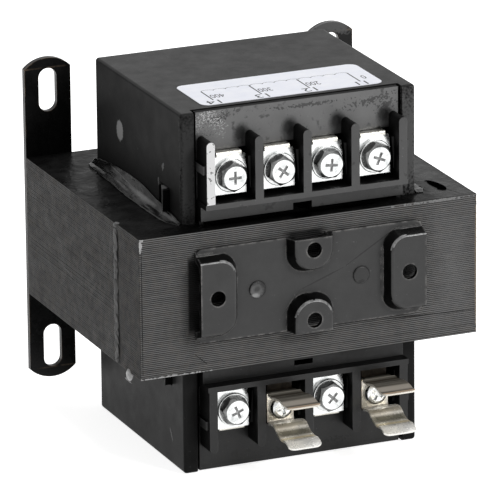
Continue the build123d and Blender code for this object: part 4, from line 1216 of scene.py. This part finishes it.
# Fuse clips. Each is a strip of tinned spring bronze bent into a base, two arms that curve round the
# cap of a cartridge fuse, and two lips that guide it in.
clip_height = core_half + 14.15
clip_strip = 0.6
clip_base_half = 7.6 / 2
clip_arm_half = 9.3 / 2
lip_end = 17.5
clip_places = [(number - 2.5) * terminal_pitch for number in (2, 4)]


# places along each arm: reach from the tab and height from the middle. The first few are on the
# narrow base.
base_places = 5
lower_arm = [
    (0.3, 0.0), (0.3, 3.2), (0.5, 3.85), (1.0, 4.1), (2.9, 3.55), (3.1, 3.45), (4.8, 2.95), (6.3, 2.8),
    (7.2, 3.1), (8.3, 3.8), (9.6, 4.55), (10.8, 4.95), (12.0, 5.1), (13.3, 4.95), (14.4, 4.85),
    (15.4, 5.1), (16.4, 5.55), (lip_end, 6.1)]
upper_arm = [
    (0.3, 0.0), (0.3, 3.6), (0.5, 4.25), (1.0, 4.5), (2.9, 4.6), (3.1, 4.6), (4.5, 4.45), (5.8, 4.5),
    (7.0, 4.8), (8.5, 5.15), (10.0, 5.3), (11.6, 5.25), (13.2, 5.0), (14.4, 4.75), (15.4, 4.75),
    (lip_end, 5.1)]


def fuse_clip(name, x):
    """Draws each arm out of a small plate, place by place, and thickens both to a strip."""
    arms = []
    for side in (-1, 1):
        clear_selection()
        line = [(reach, height, clip_base_half if row < base_places else clip_arm_half)
                for row, (reach, height) in enumerate(upper_arm if side > 0 else lower_arm)]
        bpy.ops.mesh.primitive_plane_add(size=0.001, location=at(x, tab_front - line[0][0], -clip_height))
        arm = settle(bpy.context.object, "arm")
        verts = arm.data.vertices
        for v, (u, w) in zip(verts, ((-1, 0), (1, 0), (-1, 1), (1, 1))):
            reach, height, half = line[w]
            v.co = at(x + u * half, tab_front - reach, -clip_height + side * height)
        for (r0, h0, w0), (r1, h1, w1) in zip(line[1:], line[2:]):
            tip = at(x, tab_front - r0, -clip_height + side * h0)
            edit_edges(arm, lambda a, b: abs((a + b).y / 2 - tip.y) < 2e-5
                       and abs((a + b).z / 2 - tip.z) < 2e-5 and abs(a.x - b.x) > 0.003)
            bpy.ops.mesh.extrude_region_move(
                TRANSFORM_OT_translate={"value": (0, (r0 - r1) / 1000, side * (h1 - h0) / 1000)})
            bpy.ops.transform.resize(value=(w1 / w0, 1, 1), center_override=at(x, tab_front - r1, 0))
            leave_edit()
        arms.append(arm)
    clip = one_piece(name, arms)
    edit_whole(clip)
    bpy.ops.mesh.remove_doubles(threshold=0.00001)
    bpy.ops.mesh.normals_make_consistent(inside=False)
    leave_edit()
    tip_y = at(0, tab_front - lip_end, 0).y + 1e-5
    edit_corners(clip, lambda spot: spot.y < tip_y)
    bpy.ops.mesh.bevel(offset=0.0019, segments=5, affect="VERTICES")
    leave_edit()
    worked(clip, "SOLIDIFY", thickness=clip_strip / 1000, offset=0.0)
    eased(clip, 0.12, 2, 50)
    return clip


tinned, tree, shader, place = surface("Tinned bronze")
along = add(tree, "Mapping", None, Vector=place, Scale=(50.0, 520.0, 520.0))
streak = add(tree, "TexNoise", None, Vector=along.outputs[0], Scale=1.0, Detail=4.0)
tone = add(tree, "MapRange", None, Value=streak.outputs["Fac"], From_Min=0.35, From_Max=0.65)
colour = blend(tree, tone.outputs[0], (0.62, 0.58, 0.5, 1), (0.97, 0.93, 0.85, 1))
edge_mask = use(tree, edge_wear_and_sheen, Place=place, Reach=0.0002, Scale=350.0, Amount=0.8)["Mask"]
colour = blend(tree, edge_mask, colour, (0.62, 0.36, 0.19, 1))
# painted shade: dark in the bends and corners of the clip
colour = blend(tree, use(tree, corner_shade, Reach=0.0015, Amount=0.4)["Mask"], colour, (0.12, 0.09, 0.06, 1))
# painted highlight and shade: bands across the arms, light and dark as the curved tin catches light; place
# from front to back, height from the core, half breadth and colour
clip_light_bands = [
    (3.1, 18.4, 0.9, (0.3, 0.28, 0.2, 1)), (1.2, 17.3, 1.0, (1.0, 0.98, 0.92, 1)),
    (-2.2, 17.5, 1.0, (0.5, 0.46, 0.38, 1)), (-4.8, 18.7, 1.5, (0.2, 0.19, 0.15, 1)),
    (-7.5, 19.2, 1.1, (0.8, 0.7, 0.48, 1)), (-11.4, 19.6, 3.0, (1.0, 0.99, 0.95, 1)),
]
feed(tree, shader.inputs["Base Color"], marked(tree, place, colour, [
    ((x, depth, -core_half - drop), (8.0, breadth, 2.4), (0, 0, 0), 0.0, tint, 1.0, 1.7)
    for x in clip_places for depth, drop, breadth, tint in clip_light_bands
]))
shader.inputs["Metallic"].default_value = 0.45
shader.inputs["Specular IOR Level"].default_value = 0.12
dulled(tree, shader, place, 420.0, 0.2, 0.34)
raised(tree, shader, 0.1, 0.00006, streak.outputs["Fac"])

# arm tops: tin painted dark as shade under the block, with painted bands of highlight and reflection out to
# the bright lip
arm_top_shade, tree, shader, place = surface("Tinned bronze, arm tops in painted shade")
along = add(tree, "Mapping", None, Vector=place, Scale=(50.0, 620.0, 50.0))
streak = add(tree, "TexNoise", None, Vector=along.outputs[0], Scale=1.0, Detail=3.0)
tone = add(tree, "MapRange", None, Value=streak.outputs["Fac"], From_Min=0.35, From_Max=0.65)
colour = blend(tree, tone.outputs[0], (0.085, 0.077, 0.062, 1), (0.2, 0.185, 0.16, 1))
arm_top_light_bands = [
    (4.4, 2.3, (0.01, 0.009, 0.006, 1)), (1.5, 0.4, (0.28, 0.26, 0.22, 1)),
    (-0.4, 1.0, (0.06, 0.052, 0.04, 1)), (-3.4, 0.4, (0.02, 0.017, 0.012, 1)),
    (-8.4, 1.7, (0.42, 0.38, 0.33, 1)), (-11.7, 1.0, (0.6, 0.45, 0.32, 1)),
]
feed(tree, shader.inputs["Base Color"], marked(tree, place, colour, [
    ((x, depth, -28.7), (8.0, breadth, 2.4), (0, 0, 0), 0.0, tint, 1.0, 2.0)
    for x in clip_places for depth, breadth, tint in arm_top_light_bands
]))
dulled(tree, shader, place, 420.0, 0.3, 0.45)
shader.inputs["Specular IOR Level"].default_value = 0.06
arm_low = at(0, 0, -clip_height + 3.6).z
for number, x in zip((2, 4), clip_places):
    clip = fuse_clip("fuse_clip_%d_spring" % number, x)
    fitted(clip, tinned, "clip_tinned_bronze", "transformer", "fuse_clip_%d" % number)
    second_skin(clip, arm_top_shade, lambda normal, centre: normal.z > 0.4 and centre.z > arm_low)

# Fuse clip screws. A round-headed plated screw with a cross recess holds each clip on its tab.
clip_head_back = 4.35
clip_head_top = 2.6
clip_head_radius = 3.15
clip_screws = []
for x, turned in zip(clip_places, (12, 58)):
    head = rod("clip head", x, (clip_head_top, clip_head_back), -clip_height, clip_head_radius, 64)
    round_off(head, 0.0013, 6, ahead_of(clip_head_top))
    fused(head, rod("shank", x, (clip_head_back - 0.3, 9.35), -clip_height, 1.75, 32))
    cut(head, *[brick("cross", (x - across, x + across), (clip_head_top - 1, clip_head_top + 0.7),
                      (-clip_height - along, -clip_height + along))
                for across, along in ((1.7, 0.42), (0.42, 1.7))])
    only(head)
    bpy.ops.transform.rotate(value=math.radians(turned), orient_axis="Y",
                             center_override=at(x, 0, -clip_height))
    settle(head, "clip head")
    clip_screws.append(eased(head, 0.08, 2, 35))
fitted(one_piece("fuse_clip_screw_pair", clip_screws), zinc_head, "clip_screw_zinc", "transformer",
       "fuse_clip_screws")

# Insulating film. A strip of black film stands against each side of the upper cover and turns out
# over the core. It is cut by hand, creased, and glossy with varnish.
film_black, tree, shader, place = surface("Varnished film")
film_colour = two_tone(tree, place, 90.0, grey(0.002), grey(0.009))
feed(tree, shader.inputs["Base Color"], marked(tree, place, film_colour, [
    # painted highlights along the film's folds and painted shade in its crease and along its foot
    ((-34.6, 31.0, 20.6), (3.0, 11.5, 0.75), (1.5, 0, 0), 0.1, grey(0.24), 0.0, 1.6),
    ((-34.6, 28.0, 19.45), (3.0, 19.0, 0.2), (0, 0, 0), 0.1, grey(0.0), 1.0, 3.0),
    ((-34.6, 33.0, 21.75), (3.0, 13.0, 0.25), (3, 0, 0), 0.1, grey(0.0), 0.0, 2.0),
    ((-34.6, 45.0, 21.7), (3.0, 11.0, 0.2), (4, 0, 0), 0.1, grey(0.12), 0.0, 2.5),
    ((-34.6, 44.0, 20.2), (3.0, 9.0, 0.25), (2, 0, 0), 0.1, grey(0.1), 0.0, 2.5),
    ((-34.2, 12.5, 19.8), (3.0, 5.5, 0.6), (0, 0, 0), 0.15, grey(0.12), 0.0, 2.5),
    ((-34.4, 20.0, 20.6), (3.0, 0.5, 1.8), (24, 0, 0), 0.1, grey(0.0005)),
]))
dulled(tree, shader, place, 250.0, 0.14, 0.3)
shader.inputs["Specular IOR Level"].default_value = 0.14
creased = add(tree, "Mapping", None, Vector=place, Scale=(260.0, 70.0, 260.0))
grained(tree, shader, 0.7, 0.0006, creased.outputs[0], 1.0, 2.0)
# painted shadow: a matt black sheet on the core where the flap of the right film casts shade
scrap_shadow, tree, shader, place = surface("Film scrap, black as painted shadow")
feed(tree, shader.inputs["Base Color"], two_tone(tree, place, 400.0, grey(0.0), grey(0.001)))
dulled(tree, shader, place, 400.0, 0.8, 1.0)
shader.inputs["Specular IOR Level"].default_value = 0.0


# places along the strip, front to back: depth, height on the cover, reach out from it at the crease
# and reach and height of the free edge on the core
film_line = [
    (6.7, 19.5, 0.25, 0.8, 19.12), (10.0, 20.3, 0.5, 2.4, 19.12), (14.0, 20.9, 0.8, 3.0, 19.15),
    (18.5, 21.3, 0.7, 3.2, 19.2), (23.1, 21.8, 0.9, 3.25, 19.25), (30.6, 22.9, 1.1, 3.3, 19.25),
    (36.0, 23.3, 0.9, 3.4, 19.3), (42.3, 23.3, 1.0, 3.0, 19.25), (50.7, 22.9, 0.9, 2.6, 19.3),
    (57.0, 22.4, 0.8, 2.5, 19.3), (62.5, 21.6, 0.8, 2.4, 19.3), (66.5, 20.7, 0.5, 1.6, 19.3)]
film_folds = 4
flared_front = {6.7: 2.0, 10.0: 3.6, 14.0: 3.4, 18.5: 3.3}


def film(name, side):
    """A strip laid along the foot of the cover, drawn out place by place and crumpled."""
    wall_x = cover_half + 0.2
    clear_selection()
    bpy.ops.mesh.primitive_grid_add(x_subdivisions=film_folds - 1, y_subdivisions=len(film_line) - 1, size=1,
                                    location=at(0, 0, 0))
    strip = settle(bpy.context.object, name)
    middle = at(0, 0, 0)
    for row, (y, top, crease, out, low) in enumerate(film_line):
        if side > 0:
            out = flared_front.get(y, out)
        across = ((wall_x, top), (wall_x + crease * 0.5, top - 0.3 * (top - low)),
                  (wall_x + crease + 0.2, top - 0.75 * (top - low)), (wall_x + out, low))
        row_y = middle.y - 0.5 + row / (len(film_line) - 1)
        for column, (x, z) in enumerate(across):
            column_x = middle.x - 0.5 + column / (film_folds - 1)
            goal = at(side * x, y, z)
            pull(strip, lambda spot: abs(spot.x - column_x) < 0.01 and abs(spot.y - row_y) < 0.01
                 and abs(spot.z - middle.z) < 1e-4,
                 (goal.x - column_x) * 1000, (goal.y - row_y) * 1000, (goal.z - middle.z) * 1000)
    edit_whole(strip)
    bpy.ops.mesh.normals_make_consistent(inside=False)
    bpy.ops.mesh.subdivide(number_cuts=2)
    bpy.ops.transform.vertex_random(offset=0.00016, seed=3)
    bpy.ops.mesh.subdivide(number_cuts=1, smoothness=0.6)
    leave_edit()
    worked(strip, "SOLIDIFY", thickness=0.00016, offset=0.0)
    only(strip)
    bpy.ops.object.shade_smooth()
    return strip


def shadow_scrap():
    """A flat black scrap on the core at the front end of the right strip, a dark sheet put where the strip's
    flap casts its shadow.
    """
    middle = at(40.7, 10.9, core_half + 0.12)
    clear_selection()
    bpy.ops.mesh.primitive_circle_add(vertices=28, radius=0.001, fill_type="NGON", location=middle)
    scrap = bpy.context.object
    scrap.scale = (1.75, 4.8, 1)
    scrap.rotation_euler.z = math.radians(8.5)
    settle(scrap, "scrap")
    pull(scrap, lambda spot: spot.x < middle.x - 0.0012, x=0.9)
    return worked(scrap, "SOLIDIFY", thickness=0.00012, offset=0.0)


films = {"left": film("left_insulation_film_strip", -1), "right": film("right_insulation_film_strip", 1)}
scrap_box = (at(36.5, 0, 0).x, at(0, 17.0, 0).y)
films["right"] = one_piece("right_insulation_film_strip", [films["right"], shadow_scrap()])
for name, strip in films.items():
    fitted(strip, film_black, "slot_film_black", "transformer", name + "_insulation_film")
scrap_low = at(0, 0, core_half + 0.2).z
second_skin(films["right"], scrap_shadow, lambda normal, centre: centre.x > scrap_box[0] and centre.y < scrap_box[1]
            and centre.z < scrap_low and abs(normal.z) > 0.9)

# Connection label. A white sticker on top of the upper cover, printed in black with the primary
# winding, its four ends and plain numbers.
label_x = (-24.8, 26.3)
label_y = (11.0, 30.5)
label = brick("connection_label_sticker", label_x, label_y, (cover_top, cover_top + 0.12))
round_off(label, 0.0024, 8, lambda a, b: abs(a.z - b.z) > 1e-5)
bpy.ops.object.shade_smooth_by_angle(angle=math.radians(30))
white, tree, shader, place = surface("Label paper")
feed(tree, shader.inputs["Base Color"],
     two_tone(tree, place, 250.0, (0.78, 0.8, 0.88, 1), (0.86, 0.87, 0.92, 1)))
dulled(tree, shader, place, 600.0, 0.35, 0.5)
fitted(label, white, "label_paper", "transformer", "connection_label")

ink, tree, shader, place = surface("Printed ink")
feed(tree, shader.inputs["Base Color"], two_tone(tree, place, 3000.0, grey(0.01), grey(0.04)))
dulled(tree, shader, place, 900.0, 0.45, 0.6)
shader.inputs["Specular IOR Level"].default_value = 0.1
ink_faces = (cover_top + 0.11, cover_top + 0.14)
line_half = 0.17
print_y = 23.0
winding_ends = (-20.3, 20.98)
hump_pitch = (winding_ends[1] - winding_ends[0]) / 12
marks = []
for number in range(12):
    clear_selection()
    middle = winding_ends[0] + (number + 0.5) * hump_pitch
    bpy.ops.mesh.primitive_torus_add(major_radius=hump_pitch / 2000, minor_radius=line_half / 1000,
                                     major_segments=32, minor_segments=6,
                                     location=at(middle, print_y, ink_faces[0]))
    hump = settle(bpy.context.object, "hump")
    edit_whole(hump)
    bpy.ops.mesh.bisect(plane_co=at(middle, print_y, 0), plane_no=(0, -1, 0), use_fill=True, clear_outer=True)
    bpy.ops.mesh.select_all(action="SELECT")
    bpy.ops.transform.resize(value=(1, 0.55, 0.15), center_override=at(middle, print_y, ink_faces[0]))
    leave_edit()
    marks.append(hump)
# the leads of the drawn coil: place across, lower end, number of the terminal and of the tap
drawn_leads = [(winding_ends[0], 15.0, "14", "400"), (-6.85, 14.7, "13", "300"),
               (6.64, 14.6, "12", "200"), (winding_ends[1], 14.5, "11", "0")]
for x, y, _, _ in drawn_leads:
    marks.append(brick("leg", (x - line_half, x + line_half), (y, print_y), ink_faces))


def printed(text, x, y, size, narrow):
    """A number that is read from behind, like the drawing."""
    clear_selection()
    bpy.ops.object.text_add(location=at(x, y, ink_faces[0]), rotation=(0, 0, math.radians(180)))
    word = bpy.context.object
    word.data.body = text
    word.data.size = size / 1000
    word.data.align_x = "CENTER"
    word.data.align_y = "CENTER"
    word.data.extrude = 0.000012
    word.scale.x = narrow
    bpy.ops.object.convert(target="MESH")
    return settle(bpy.context.object, "number")


for x, _, terminal, tap in drawn_leads:
    marks.append(printed(terminal, x - 0.2, 13.3, 4.4, 1.1))
    marks.append(printed(tap, x + 2.4, 18.1, 4.2, 0.62))
fitted(one_piece("connection_label_print", marks), ink, "label_paper", "transformer")

# Stage. A pale floor under the object, soft lamps and a plain white surround.
floor_glow = 0.84


def seen_plainly(tree):
    """One where the camera looks, also in a mirror or through glass, and nothing for other light."""
    rays = add(tree, "LightPath").outputs
    bounced = sums(tree, "MAXIMUM", rays["Is Glossy Ray"], rays["Is Transmission Ray"])
    return sums(tree, "MAXIMUM", rays["Is Camera Ray"], bounced)


clear_selection()
bpy.ops.mesh.primitive_plane_add(size=6, location=(0, 0, -0.0002))
floor = bpy.context.object
floor.name = "floor"
floor_white, tree, shader, place = surface("Floor")
grain = use(tree, mottle, Place=place, Scale=40.0, Low=0.88, High=0.9)["Tone"]
feed(tree, shader.inputs["Base Color"], blend(tree, grain, grey(0.0), grey(1.0)))
shader.inputs["Roughness"].default_value = 0.95
shader.inputs["Specular IOR Level"].default_value = 0.0
feed(tree, shader.inputs["Emission Color"], grey(1.0))
feed(tree, shader.inputs["Emission Strength"], sums(tree, "MULTIPLY", floor_glow, seen_plainly(tree)))
floor.data.materials.append(floor_white)

world = bpy.data.worlds.new("Surround")
bpy.context.scene.world = world
world.use_nodes = True
tree = world.node_tree
strength = add(tree, "MapRange", None, Value=seen_plainly(tree), To_Min=0.3, To_Max=1.0)
surround = tree.nodes["Background"]
surround.inputs["Color"].default_value = (1, 1, 1, 1)
feed(tree, surround.inputs["Strength"], strength.outputs[0])


def lamp(name, place_mm, aim_mm, size, power):
    data = bpy.data.lights.new(name, "AREA")
    data.shape = "DISK"
    data.size = size
    data.energy = power
    obj = bpy.data.objects.new(name, data)
    bpy.context.scene.collection.objects.link(obj)
    obj.location = at(*place_mm)
    obj.rotation_euler = (at(*aim_mm) - at(*place_mm)).to_track_quat("-Z", "Y").to_euler()


lamp("key", (650, -1000, 800), (0, 30, 0), 0.45, 9.0)
lamp("top", (150, 350, 1400), (0, 30, 0), 0.8, 9.0)

# Camera. Set where the photograph was taken from: far off, a little to the left and above.
camera_data = bpy.data.cameras.new("camera")
camera_data.sensor_width = 36
camera_data.lens = 443.26
camera_data.clip_start = 0.05
camera = bpy.data.objects.new("camera", camera_data)
bpy.context.scene.collection.objects.link(camera)
camera.location = at(-605.49, -1387.74, 498.12)
camera.rotation_euler = [math.radians(angle) for angle in (72.13560, 0.52985, -23.15886)]
bpy.context.scene.camera = camera
bpy.context.scene.view_settings.view_transform = "Standard"
